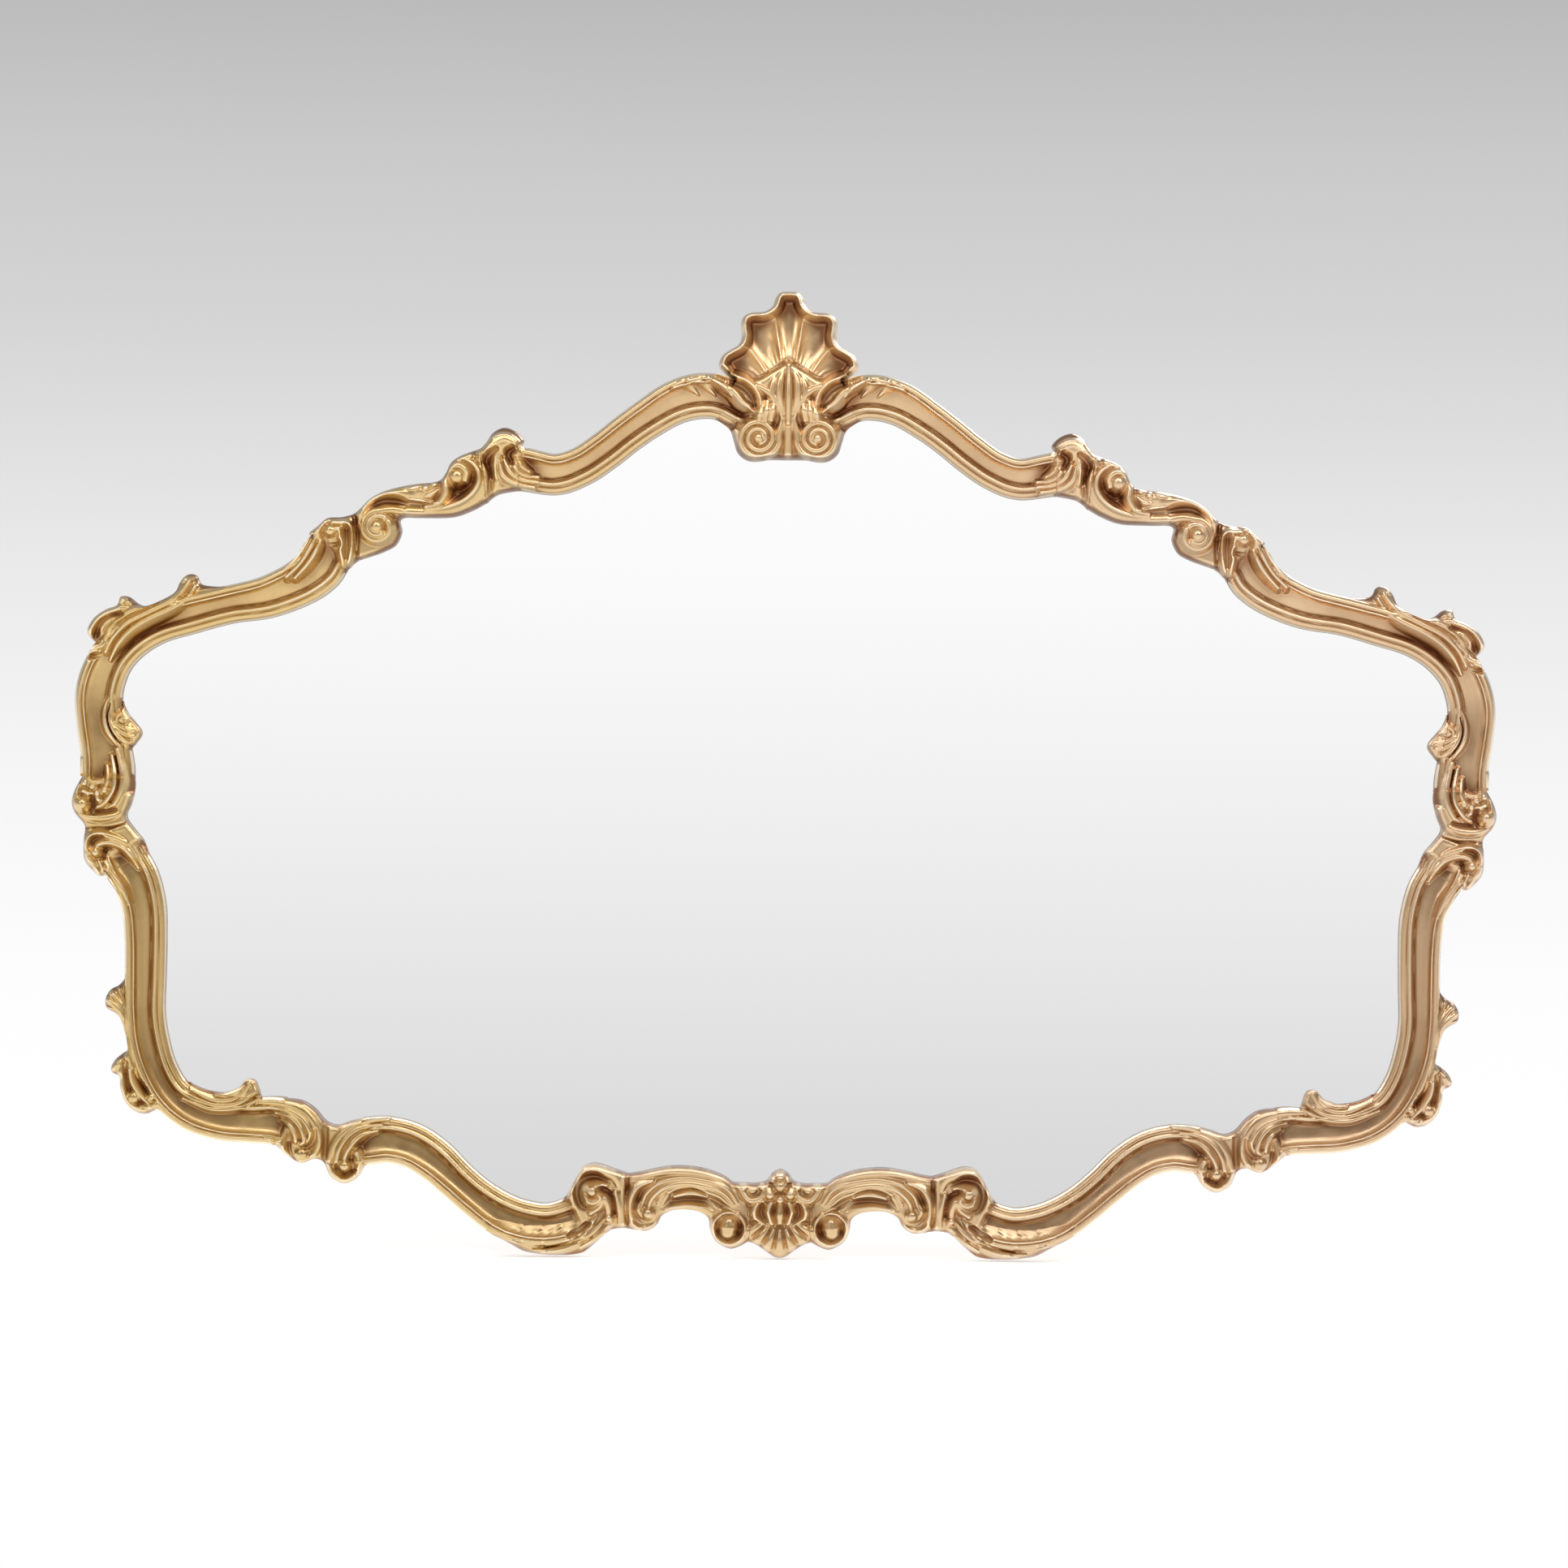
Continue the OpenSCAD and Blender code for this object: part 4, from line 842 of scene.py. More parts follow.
def beside(x, z):             # the nearest sample of the centre line, and the offset outwards
    margin = 60
    low = np.array([x.min(), z.min()]) - margin
    top = np.array([x.max(), z.max()]) + margin
    here = sampleHere[:, :2]
    near = np.flatnonzero(((here > low) & (here < top)).all(1))
    found = np.empty(len(x), int)
    for start in range(0, len(x), batch):
        part = slice(start, start + batch)
        gap = (x[part, None] - here[near, 0])**2 + (z[part, None] - here[near, 1])**2
        found[part] = near[gap.argmin(1)]
    out = sampleOut[found]
    return found, (x - here[found, 0]) * out[:, 0] + (z - here[found, 1]) * out[:, 1]


def smoothRise(t):
    t = np.clip(t, 0, 1)
    return t * t * (3 - 2 * t)


def groundHeight(x, z, ground, runOn, fade):   # the moulding runs on under a carving, then fades
    found, offset = beside(x, z)
    half = sampleHere[found, 2] / 2
    high = mouldingHeight(half - offset, half + offset)
    past = np.maximum(sampleBeyond[found], (abs(offset) - half) * relief["sideFade"])
    share = smoothRise((past - runOn) / fade)
    return high * (1 - share) + ground * share


def getValues(mesh, what):    # the place ("co") or the normal of every point
    values = np.empty(len(mesh.vertices) * 3, np.float32)
    mesh.vertices.foreach_get(what, values)
    return values.reshape(-1, 3)


def getPoints(mesh):
    return getValues(mesh, "co").astype(float)


def setPoints(mesh, points):
    mesh.vertices.foreach_set("co", points.astype(np.float32).ravel())
    mesh.update()


def markPoints(mesh, name, values):
    mark = mesh.attributes.new(name, "FLOAT", "POINT")
    mark.data.foreach_set("value", values.astype(np.float32))


def sliced(form, depth, facing):        # cut off in front (-1) of a depth or behind it (1)
    bmesh.ops.bisect_plane(form, geom=form.verts[:] + form.edges[:] + form.faces[:], dist=onPlane,
                           plane_co=(0, -depth * mm, 0), plane_no=(0, facing, 0),
                           clear_outer=True)
    return [edge for edge in form.edges if edge.is_boundary]


def slabOf(node):             # a node's outline as a thin even slab, and the outline's edges
    form = formOf(nodes[node].data)
    bmesh.ops.remove_doubles(form, verts=form.verts, dist=weldWithin)
    rim = sliced(form, gilt["back"] + relief["slab"], -1)
    outline = np.array([[(v.co.x / mm, v.co.z / mm) for v in edge.verts] for edge in rim])
    bmesh.ops.holes_fill(form, edges=rim, sides=0)
    bmesh.ops.recalc_face_normals(form, faces=form.faces)
    return form, outline


def remeshed(form, name, size):
    piece = newObject(name, meshOf(form, name))
    cutter = piece.modifiers.new("remesh", "REMESH")
    cutter.mode = "VOXEL"
    cutter.voxel_size = size * mm
    return appliedMesh(piece)


def edgeDistance(x, z, edges):            # from each point to the nearest of the outline's edges
    nearest = np.full(len(x), 1e3)        # far off, where there are none
    if not len(edges):
        return nearest
    for start in range(0, len(x), batch):
        part = slice(start, start + batch)
        step = edges[:, 1] - edges[:, 0]
        offX = x[part, None] - edges[:, 0, 0]
        offZ = z[part, None] - edges[:, 0, 1]
        t = np.clip((offX * step[:, 0] + offZ * step[:, 1]) / (step**2).sum(1), 0, 1)
        gap = (offX - t * step[:, 0])**2 + (offZ - t * step[:, 1])**2
        nearest[part] = np.sqrt(gap.min(1))
    return nearest


def roundEdges(x, z, high, edges, lip, width):     # down to the lip, over that width
    near = np.clip(edgeDistance(x, z, edges) / width, 0, 1)
    rise = np.sqrt(1 - (1 - near)**2)
    return np.where(high > lip, lip + (high - lip) * rise, high)


outlines, slabs = {}, {}
for base in [*ornaments, *rails]:
    slab, outlines[base] = slabOf(base if base in nodes else base + "_right")
    if base in ornaments:
        slabs[base] = slab
    else:
        slab.free()


def splitEdges(base):         # the outline's free edges, and those that meet other gilt pieces
    mine = outlines[base]
    others = np.vstack([edges for name, edges in outlines.items() if name != base])
    middle = mine.mean(1)
    away = edgeDistance(np.abs(middle[:, 0]), middle[:, 1], others)
    return mine[away > relief["jointWidth"]], mine[away <= relief["jointWidth"]]


def inPlan(points):           # x and z in mm, with the left half laid over the right
    return np.abs(points[:, 0]) / mm, points[:, 2] / mm


def closeJoints(mesh, points, joints):     # the remesh leaves a joint a hair open
    normals = getValues(mesh, "normal")
    near = edgeDistance(*inPlan(points), joints) < relief["jointReach"]
    for k in (0, 2):
        points[near, k] += normals[near, k] * relief["jointClose"] * mm
    return points


def markRelief(mesh, joints):   # how far each point stands out of what is around it
    points, normals = getPoints(mesh), getValues(mesh, "normal")
    count = len(points)
    ends = np.empty(len(mesh.edges) * 2, np.int32)
    mesh.edges.foreach_get("vertices", ends)
    first, last = ends.reshape(-1, 2).T
    links = np.bincount(ends, minlength=count)
    soft = points.copy()
    for _ in range(int((relief["reach"] / grain)**2)):
        total = [np.bincount(first, soft[last, k], count) + np.bincount(last, soft[first, k], count)
                 for k in range(3)]
        soft = np.stack(total, 1) / links[:, None]
    value = ((points - soft) * normals).sum(1) / mm
    value *= smoothRise((-normals[:, 1] - relief["plainWall"]) / relief["shadeAndHighlightFade"])
    away = edgeDistance(*inPlan(points), joints)
    value *= smoothRise((away - relief["jointReach"]) / relief["jointFade"])
    markPoints(mesh, "relief", value)


def smoothShade(mesh, sharpest=60):
    mesh.polygons.foreach_set("use_smooth", [True] * len(mesh.polygons))
    mesh.set_sharp_from_angle(angle=math.radians(sharpest))


def backToOneFace(form):      # the flat back needs no fine mesh
    rim = sliced(form, gilt["back"] + relief["backSkin"], 1)
    filled = bmesh.ops.holes_fill(form, edges=rim, sides=0)["faces"]
    for vert in {v for face in filled for v in face.verts}:
        vert.co.y = -gilt["back"] * mm
    for face in form.faces:
        face.material_index = 0
    for face in filled:
        face.material_index = 1


def soften(form, verts, factor, along, times=1):     # along the axes that are named
    for _ in range(times):
        bmesh.ops.smooth_vert(form, verts=verts, factor=factor, use_axis_x="x" in along,
                              use_axis_y="y" in along, use_axis_z="z" in along)


def carved(base):             # the right or whole piece, carved
    mesh = remeshed(slabs[base], base, grain)
    points = getPoints(mesh)
    x, z = inPlan(points)
    lift = (-points[:, 1] / mm - gilt["back"]) / relief["slab"]
    high = groundHeight(x, z, *ornaments[base])
    if base == "crest_shell":
        high = shellHeight(x, z, high, edgeDistance(x, z, rimEdges()))
    high = carve(x, z, high, allStrokes)
    edges, joints = splitEdges(base)
    _, side = beside(*edges.mean(1).T)
    high = roundEdges(x, z, high, edges[side > 0], relief["edgeLip"], relief["edgeRound"])
    high = roundEdges(x, z, high, edges[side <= 0], relief["sightLip"], relief["sightRound"])
    high = np.clip(high, relief["lowest"], gilt["front"] - gilt["back"] - relief["spare"])
    points = closeJoints(mesh, points, joints)
    points[:, 1] = -(gilt["back"] + high * lift) * mm
    setPoints(mesh, points)
    form = formOf(mesh)
    soften(form, form.verts, 0.5, "y", 2)
    soften(form, form.verts, 0.3, "xyz")
    soften(form, [vert for vert in form.verts if abs(vert.normal.y) < wallMost], 0.5,
           "xz", 4)
    backToOneFace(form)
    bmesh.ops.recalc_face_normals(form, faces=form.faces)
    smoothShade(putBack(form, mesh))
    markRelief(mesh, joints)
    return mesh


# The shell: a rolled rim, and a dish of three fluted lobes a side that fan out from its hinge
shell = {
    "hinge": (0, 366),
    "lobes": (-9.6, 9.6, 36.4, 66),      # where one lobe ends and the next begins, in degrees
    "rimCrest": 4.6,          # the rim's crest, in from its edge, and where its inner wall ends
    "rimFoot": 13,
    "rimHeight": 36.5,
    "dishHeight": 14.5,
    "hingeHeight": 36,
    "ridge": 6,               # between two lobes, how sharp it is, and where it is full
    "ridgeSharp": 2.5,
    "ridgeFull": 60,
    "rib": 1.3,               # fine ribs at the hinge, and the degrees from one to the next
    "ribs": 5.35,
    "ribFade": 1.5,
    "rimRound": 2.4,          # how square the rim's outside is, and how hollow its inside
    "rimHollow": 1.3,
    "foot": 22,               # the dish begins this far from the hinge
    "rimFrom": 397,           # the outline is the rim from this high up
    "hemFade": 5,             # how softly the shell ends at its hem
    "hem": [(0, 411), (14, 401), (30, 390.5), (46, 391), (72, 397)],
}


def rimEdges():
    edges = splitEdges("crest_shell")[0]
    return edges[edges.mean(1)[:, 1] > shell["rimFrom"]]


def shellHeight(x, z, high, fromRim):
    offX, offZ = x - shell["hinge"][0], z - shell["hinge"][1]
    angle, far = np.degrees(np.arctan2(offX, offZ)), np.hypot(offX, offZ)
    lobes = np.array(shell["lobes"])
    here = np.clip(np.searchsorted(lobes, angle) - 1, 0, len(lobes) - 2)
    across = np.clip((angle - lobes[here]) / (lobes[here + 1] - lobes[here]), 0, 1)
    inner = fromRim + far                       # the rim's distance from the hinge, about
    along = np.clip((far - shell["foot"]) / (inner - shell["rimFoot"] - shell["foot"]), 0, 1)
    above = z - np.interp(x, *np.transpose(shell["hem"]))
    ridge = abs(2 * across - 1)**shell["ridgeSharp"]
    ribs = np.cos(np.radians(angle) * 360 / shell["ribs"])
    dish = shell["dishHeight"] + (shell["hingeHeight"] - shell["dishHeight"]) * (1 - along)**2
    dish += shell["ridge"] * ridge * smoothRise(far / shell["ridgeFull"])
    dish += shell["rib"] * (ribs - 1) * np.clip(1 - shell["ribFade"] * along, 0, 1)
    crest, foot = shell["rimCrest"], shell["rimFoot"]
    outside = np.sqrt(1 - np.clip(1 - fromRim / crest, 0, 1)**shell["rimRound"])
    inside = smoothRise((foot - fromRim) / (foot - crest))**shell["rimHollow"]
    body = dish + (shell["rimHeight"] - dish) * np.where(fromRim < crest, outside, inside)
    share = smoothRise(above / shell["hemFade"] + 0.5)
    return high * (1 - share) + body * share


def railGrid(first, last):    # a closed tube round the moulding's section, along the centre line
    places = samplePlace[(samplePlace > first) & (samplePlace < last)]
    reach = np.interp(np.append(first, np.append(places, last)), samplePlace, sampleReach)
    count = int((reach[-1] - reach[0]) / relief["railStep"]) + 1
    places = np.interp(np.linspace(reach[0], reach[-1], count), sampleReach, samplePlace)
    places[0], places[-1] = first - relief["runOn"], last + relief["runOn"]
    here, outwards = onCentreLine(places)
    form = bmesh.new()
    across = relief["railPoints"] + 4
    bmesh.ops.create_grid(form, x_segments=count - 1, y_segments=across - 1, size=1)
    mesh = meshOf(form, "rail")
    order = getPoints(mesh)
    column = np.rint((order[:, 0] + 1) / 2 * (count - 1)).astype(int)
    row = np.rint((order[:, 1] + 1) / 2 * (across - 1)).astype(int)
    width = here[column, 2]
    # the section: back middle, outer foot, the moulded front, sight foot and back middle again
    share = np.concatenate([[0.5, 0], np.linspace(0, 1, relief["railPoints"]), [1, 0.5]])
    fromOuter = share[row] * width
    high = mouldingHeight(fromOuter, width - fromOuter)
    side = width / 2 - fromOuter
    x = here[column, 0] + outwards[column, 0] * side
    z = here[column, 1] + outwards[column, 1] * side
    raised = (row > 1) & (row < across - 2)
    high = np.where(raised, carve(x, z, high, allStrokes), 0)
    setPoints(mesh, np.stack([x * mm, -(gilt["back"] + high) * mm, z * mm], 1))
    return mesh


def sweptRail(base):
    mesh = railGrid(*runEnds[rails[base]])
    form = formOf(mesh)
    bmesh.ops.remove_doubles(form, verts=form.verts, dist=weldWithin)
    bmesh.ops.holes_fill(form, edges=[edge for edge in form.edges if edge.is_boundary], sides=0)
    bmesh.ops.recalc_face_normals(form, faces=form.faces)
    for face in form.faces:
        face.material_index = int(face.normal.y > squareOn)
    smoothShade(putBack(form, mesh))
    markRelief(mesh, splitEdges(base)[1])
    return mesh


hollow = {                    # the map of hollows, for the painted shade in them: its cell, and how widely it compares
    "cell": 1.5,
    "near": 1.2,
    "wide": 6.5,
    "across": 760,            # the map's width and height, and how far down it begins
    "tall": 1000,
    "down": 500,
    "facing": 0.2,            # only what faces at least this much to the front is on the map
}


def blurred(grid, reach):         # a soft average of a map, reach in mm
    span = np.arange(-int(3 * reach / hollow["cell"]) - 1, int(3 * reach / hollow["cell"]) + 2)
    kernel = np.exp(-(span * hollow["cell"] / reach)**2 / 2)
    for side in (0, 1):
        grid = np.apply_along_axis(lambda line: np.convolve(line, kernel, "same"), side, grid)
    return grid


def mapHollows(meshes):           # how far each place lies below the gilt around it, over x and z
    shape = [int(hollow[way] / hollow["cell"]) for way in ("across", "tall")]
    total, count = np.zeros(shape), np.zeros(shape)
    for mesh in meshes:
        front = getValues(mesh, "normal")[:, 1] < -hollow["facing"]
        x, y, z = getPoints(mesh)[front].T / mm
        spot = (np.rint(abs(x) / hollow["cell"]).astype(int),
                np.rint((z + hollow["down"]) / hollow["cell"]).astype(int))
        np.add.at(total, spot, -y)
        np.add.at(count, spot, 1)
    known = (count > 0).astype(float)
    high = np.where(count > 0, total / np.maximum(count, 1), 0)
    near, wide = (blurred(high, hollow[name]) / np.maximum(blurred(known, hollow[name]), 1e-3)
                  for name in ("near", "wide"))
    return near - wide


# how deep each point lies in a hollow, which sets its painted shade
def markHollows(mesh, hollows):
    points = getPoints(mesh) / mm
    across = abs(points[:, 0]) / hollow["cell"]
    up = (points[:, 2] + hollow["down"]) / hollow["cell"]
    i, k = across.astype(int), up.astype(int)
    s, t = across - i, up - k
    markPoints(mesh, "hollow", (hollows[i, k] * (1 - s) + hollows[i + 1, k] * s) * (1 - t)
               + (hollows[i, k + 1] * (1 - s) + hollows[i + 1, k + 1] * s) * t)


def mirroredMesh(mesh):
    form = formOf(mesh)
    bmesh.ops.transform(form, matrix=Matrix.Scale(-1, 4, (1, 0, 0)), verts=form.verts)
    bmesh.ops.recalc_face_normals(form, faces=form.faces)
    return putBack(form, mesh.copy())


def placeGilt(base, mesh):
    sides = {base: mesh} if base in nodes else {
        base + "_right": mesh, base + "_left": mirroredMesh(mesh)}
    for node, skin in sides.items():
        skin.materials.append(giltSkin)
        skin.materials.append(rawBack)
        piece = newObject(camel(node), skin)
        skin.name = piece.name
        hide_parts(node)
        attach(piece, "root")


def camel(node):
    first, *rest = node.split("_")
    return first + "".join(word.capitalize() for word in rest)


def linear(red, green, blue):          # a screen colour, 0 to 255, as the shader takes it
    return tuple((c / 255 / 12.92) if c < 11 else ((c / 255 + 0.055) / 1.055)**2.4
                 for c in (red, green, blue))


def noise(tree, place, scale, detail=2.0, roughness=0.5):
    return addNode(tree, "ShaderNodeTexNoise", Vector=place, Scale=scale, Detail=detail,
                   Roughness=roughness).outputs["Fac"]


def stretched(tree, place, scale):     # the place, drawn out along the grain
    return addNode(tree, "ShaderNodeMapping", Vector=place, Scale=scale).outputs["Vector"]


def makeMaterial(name, finish, *values):
    # A finish gives what goes into the shader's sockets, and its bump as (height, strength,
    # distance in metres).
    material = bpy.data.materials.new(name)
    material.use_nodes = True
    tree = material.node_tree
    sockets = finish(tree, addNode(tree, "ShaderNodeTexCoord").outputs["Object"], *values)
    if "bump" in sockets:
        height, strength, distance = sockets.pop("bump")
        bump = addNode(tree, "ShaderNodeBump", Strength=strength, Distance=distance, Height=height)
        sockets["Normal"] = bump.outputs["Normal"]
    for socket, value in sockets.items():
        feed(tree, tree.nodes["Principled BSDF"].inputs[socket], value)
    return material


giltTones = {
    # the gilt's colour, olive at the left and rose at the right: the shift across the piece is a
    # painted reflection tint
    "left": linear(214, 184, 126),
    "right": linear(216, 185, 148),
    # red-brown patina in the creases, deepened as painted shade
    "recess": linear(178, 128, 84),
    # painted shade, dark brown, laid in the hollows
    "hollow": linear(134, 84, 46),
    # painted highlight, near white, laid on the ridges
    "worn": linear(250, 238, 216),
    "coat": 0.55,
    "coatRoughness": 0.16,
    "roughness": (0.30, 0.42),
}


def giltWithPaintedLight(tree, place):           # painted shade in its hollows and creases, patina in its creases too, and a painted highlight on its ridges
    stands, lies = (addNode(tree, "ShaderNodeAttribute", attribute_name=name).outputs["Fac"]
                    for name in ("relief", "hollow"))
    # random tone in patches, plus a painted reflection tint that runs from left to right
    toneAndSideReflection = compute(tree, "MULTIPLY_ADD", noise(tree, place, 9, 3), 0.5, axes(tree, place)["X"])
    colour = mixColour(tree, mapped(tree, toneAndSideReflection, -0.4, 0.7), giltTones["left"], giltTones["right"])
    # laid over it: patina and painted shade in the creases, painted shade in the hollows, a painted
    # highlight on the ridges
    for name, mark, low, high, most in (("recess", stands, -0.25, -1.6, 1),
                                        ("hollow", lies, -0.3, -4.2, 0.9),
                                        ("worn", stands, 0.25, 1.05, 0.8)):
        colour = mixColour(tree, mapped(tree, mark, low, high, (0, most)), colour, giltTones[name])
    sheen = mapped(tree, noise(tree, place, 60, 3), 0.3, 0.7, giltTones["roughness"])
    return {"Base Color": colour, "Metallic": 1.0, "Roughness": sheen,
            "Coat Weight": giltTones["coat"], "Coat Roughness": giltTones["coatRoughness"],
            "bump": (noise(tree, place, 220, 4, 0.6), 0.12, 0.001)}


def rawGesso(tree, place):
    colour = mixColour(tree, noise(tree, place, 40, 4), linear(196, 160, 112), linear(150, 112, 70))
    return {"Base Color": colour, "Roughness": 0.85,
            "bump": (noise(tree, place, 300, 4), 0.3, 0.001)}


def silvering(tree, place):            # the glass seen from the front
    cloud = noise(tree, place, 1.5, 2)
    colour = mixColour(tree, cloud, (0.968, 0.973, 0.970), (0.976, 0.980, 0.976))
    return {"Base Color": colour, "Metallic": 1.0, "Roughness": 0.0}


def greyPaint(tree, place):            # over the silvering, rolled on
    streak = noise(tree, stretched(tree, place, (3, 40, 40)), 6, 4, 0.6)
    colour = mixColour(tree, streak, linear(122, 124, 128), linear(146, 148, 150))
    return {"Base Color": colour, "Roughness": 0.5, "bump": (streak, 0.15, 0.0005)}


def groundGlass(tree, place):          # the plate's edge
    grit = noise(tree, place, 900, 3)
    colour = mixColour(tree, grit, linear(132, 164, 150), linear(186, 208, 198))
    return {"Base Color": colour, "Roughness": 0.35, "bump": (grit, 0.3, 0.0002)}


plyLayers = {
    "thickness": 1.43,        # of one layer, in mm
    "first": 8,               # depth of the ring's back
    "face": (linear(222, 197, 154), linear(198, 166, 120)),
    "across": linear(166, 128, 86),
    "glue": linear(104, 74, 48),
}


def birchPly(tree, place, along):      # layers on its edges, grain on its faces
    fine = noise(tree, stretched(tree, place, along), 30, 5, 0.65)
    broad = noise(tree, stretched(tree, place, along), 6, 3)
    lines = compute(tree, "MULTIPLY_ADD", broad, 0.6, fine)
    colour = mixColour(tree, mapped(tree, lines, 0.6, 1.0), *plyLayers["face"])
    step = plyLayers["thickness"] * mm
    depth = compute(tree, "MULTIPLY_ADD", axes(tree, place)["Y"], -1 / step,
                    -plyLayers["first"] * mm / step)
    # a layer is 0 to 1 deep, and every second one shows its end grain
    layer = mapped(tree, compute(tree, "MODULO", depth, 2.0), 0.97, 1.03, (0, 0.75))
    colour = mixColour(tree, layer, colour, plyLayers["across"])
    glue = mapped(tree, compute(tree, "PINGPONG", depth, 0.5), 0.09, 0.03, (0, 0.7))
    glue = compute(tree, "MULTIPLY", glue, mapped(tree, depth, 0.3, 0.5))
    return {"Base Color": mixColour(tree, glue, colour, plyLayers["glue"]),
            "Roughness": mapped(tree, fine, 0.2, 0.8, (0.55, 0.75)), "bump": (fine, 0.25, 0.0005)}


def pressedFibre(tree, place):
    fibre = noise(tree, stretched(tree, place, (1, 1, 2.5)), 420, 5, 0.7)
    cloud = mapped(tree, noise(tree, place, 7, 4, 0.6), 0.25, 0.75)
    colour = mixColour(tree, cloud, linear(118, 84, 53), linear(128, 92, 59))
    for low, high, shade in ((0.52, 0.75, linear(168, 130, 90)), (0.45, 0.25, linear(74, 50, 32))):
        colour = mixColour(tree, mapped(tree, fibre, low, high, (0, 0.6)), colour, shade)
    return {"Base Color": colour, "Roughness": mapped(tree, fibre, 0.2, 0.8, (0.42, 0.62)),
            "bump": (fibre, 0.2, 0.0003)}


def sawnPine(tree, place):
    ring = addNode(tree, "ShaderNodeTexWave", Scale=60.0, Distortion=3.0, Detail=3.0,
                   bands_direction="Z", Vector=stretched(tree, place, (0.15, 1, 1))).outputs["Fac"]
    colour = mixColour(tree, ring, linear(232, 208, 160), linear(204, 166, 108))
    return {"Base Color": colour, "Roughness": 0.75, "bump": (ring, 0.2, 0.0005)}


def zincPlate(tree, place):
    spangle = addNode(tree, "ShaderNodeTexVoronoi", Scale=420.0, Vector=place).outputs["Color"]
    scratch = noise(tree, stretched(tree, place, (1, 1, 14)), 260, 3, 0.6)
    dull = mapped(tree, noise(tree, place, 90, 3), 0.5, 0.72, (0, 0.6))
    colour = mixColour(tree, spangle, linear(188, 190, 192), linear(206, 207, 208))
    return {"Base Color": mixColour(tree, dull, colour, linear(150, 150, 148)), "Metallic": 1.0,
            "Roughness": mapped(tree, scratch, 0.3, 0.7, (0.26, 0.44)),
            "bump": (scratch, 0.12, 0.0002)}


def platedBrass(tree, place):
    tarnish = noise(tree, place, 160, 4, 0.6)
    colour = mixColour(tree, mapped(tree, tarnish, 0.42, 0.7), linear(214, 180, 104),
                       linear(160, 120, 62))
    return {"Base Color": colour, "Metallic": 1.0,
            "Roughness": mapped(tree, tarnish, 0.3, 0.7, (0.18, 0.38)),
            "bump": (noise(tree, place, 900, 3), 0.08, 0.0002)}


def pressedCork(tree, place):          # granules, light and dark, with ragged borders
    wander = noise(tree, place, 700, 3, 0.6)
    ragged = addNode(tree, "ShaderNodeVectorMath", operation="MULTIPLY_ADD")
    for socket, value in zip(ragged.inputs, (wander, (0.0009, 0.0009, 0.0009), place)):
        feed(tree, socket, value)
    granule = addNode(tree, "ShaderNodeTexVoronoi", Scale=820.0, Randomness=1.0,
                      Vector=ragged.outputs["Vector"]).outputs
    shade = addNode(tree, "ShaderNodeSeparateColor", Color=granule["Color"]).outputs
    colour = mixColour(tree, shade["Red"], linear(166, 122, 78), linear(216, 180, 132))
    dark = mapped(tree, shade["Green"], 0.8, 0.95, (0, 0.8))
    colour = mixColour(tree, dark, colour, linear(96, 62, 38))
    between = mapped(tree, wander, 0.56, 0.7, (0, 0.6))
    return {"Base Color": mixColour(tree, between, colour, linear(128, 90, 56)), "Roughness": 0.9,
            "bump": (granule["Distance"], 0.5, 0.0005)}


giltSkin = makeMaterial("giltWithPaintedLight", giltWithPaintedLight)
rawBack = makeMaterial("rawBack", rawGesso)
silver = makeMaterial("silveredGlass", silvering)
backPaint = makeMaterial("mirrorBackPaint", greyPaint)
groundEdge = makeMaterial("groundGlassEdge", groundGlass)
plyAcross = makeMaterial("birchPlyAcross", birchPly, (1, 14, 14))
plyUpright = makeMaterial("birchPlyUpright", birchPly, (14, 14, 1))
hardboard = makeMaterial("hardboard", pressedFibre)
pine = makeMaterial("sawnPine", sawnPine)
zinc = makeMaterial("zincPlate", zincPlate)
brass = makeMaterial("platedBrass", platedBrass)
cork = makeMaterial("pressedCork", pressedCork)

gilded = {base: sweptRail(base) for base in rails}
print("mouldings swept")
for base in ornaments:
    gilded[base] = carved(base)
    print("carved", base)
hollows = mapHollows(gilded.values())
for base, skin in gilded.items():
    markHollows(skin, hollows)
    placeGilt(base, skin)
print("gilt placed")


easing = {                    # how far the sharp edges of each piece are rounded
    "ring": 0.6,
    "glass": 0.4,
    "board": 0.5,
    "blocks": 0.3,
    "button": 0.3,
    "strap": 0.2,
    "bumper": 0.9,
    "sharpest": 35,           # degrees: what turns more than this is a sharp edge
    "flattest": 0.5,          # and what turns less than this is one face
}


def mergedCopy(node):         # a node's loose triangles joined into a closed form
    form = formOf(nodes[node].data)
    bmesh.ops.remove_doubles(form, verts=form.verts, dist=weldWithin)
    bmesh.ops.dissolve_limit(form, angle_limit=math.radians(easing["flattest"]),
                             verts=form.verts, edges=form.edges, use_dissolve_boundaries=False)
    return form


def easeEdges(form, width, segments=2):
    limit = math.radians(easing["sharpest"])
    sharp = [edge for edge in form.edges if edge.is_manifold and edge.calc_face_angle(0) > limit]
    bmesh.ops.bevel(form, geom=sharp, offset=width * mm, offset_type="OFFSET", segments=segments,
                    profile=0.5, affect="EDGES", clamp_overlap=True, material=-1)


def placePiece(form, node, finishes, body="root", sharpest=20):
    mesh = meshOf(form, camel(node))
    for finish in finishes:
        mesh.materials.append(finish)
    smoothShade(mesh, sharpest)
    piece = newObject(camel(node), mesh)
    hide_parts(node)
    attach(piece, body)


def easedCopy(node, width, segments=2):
    form = mergedCopy(node)
    easeEdges(form, width, segments)
    return form


stamped = {                   # a turn button's pressed panel
    "margin": 1.1,
    "slope": 0.25,
    "deep": 0.2,
}


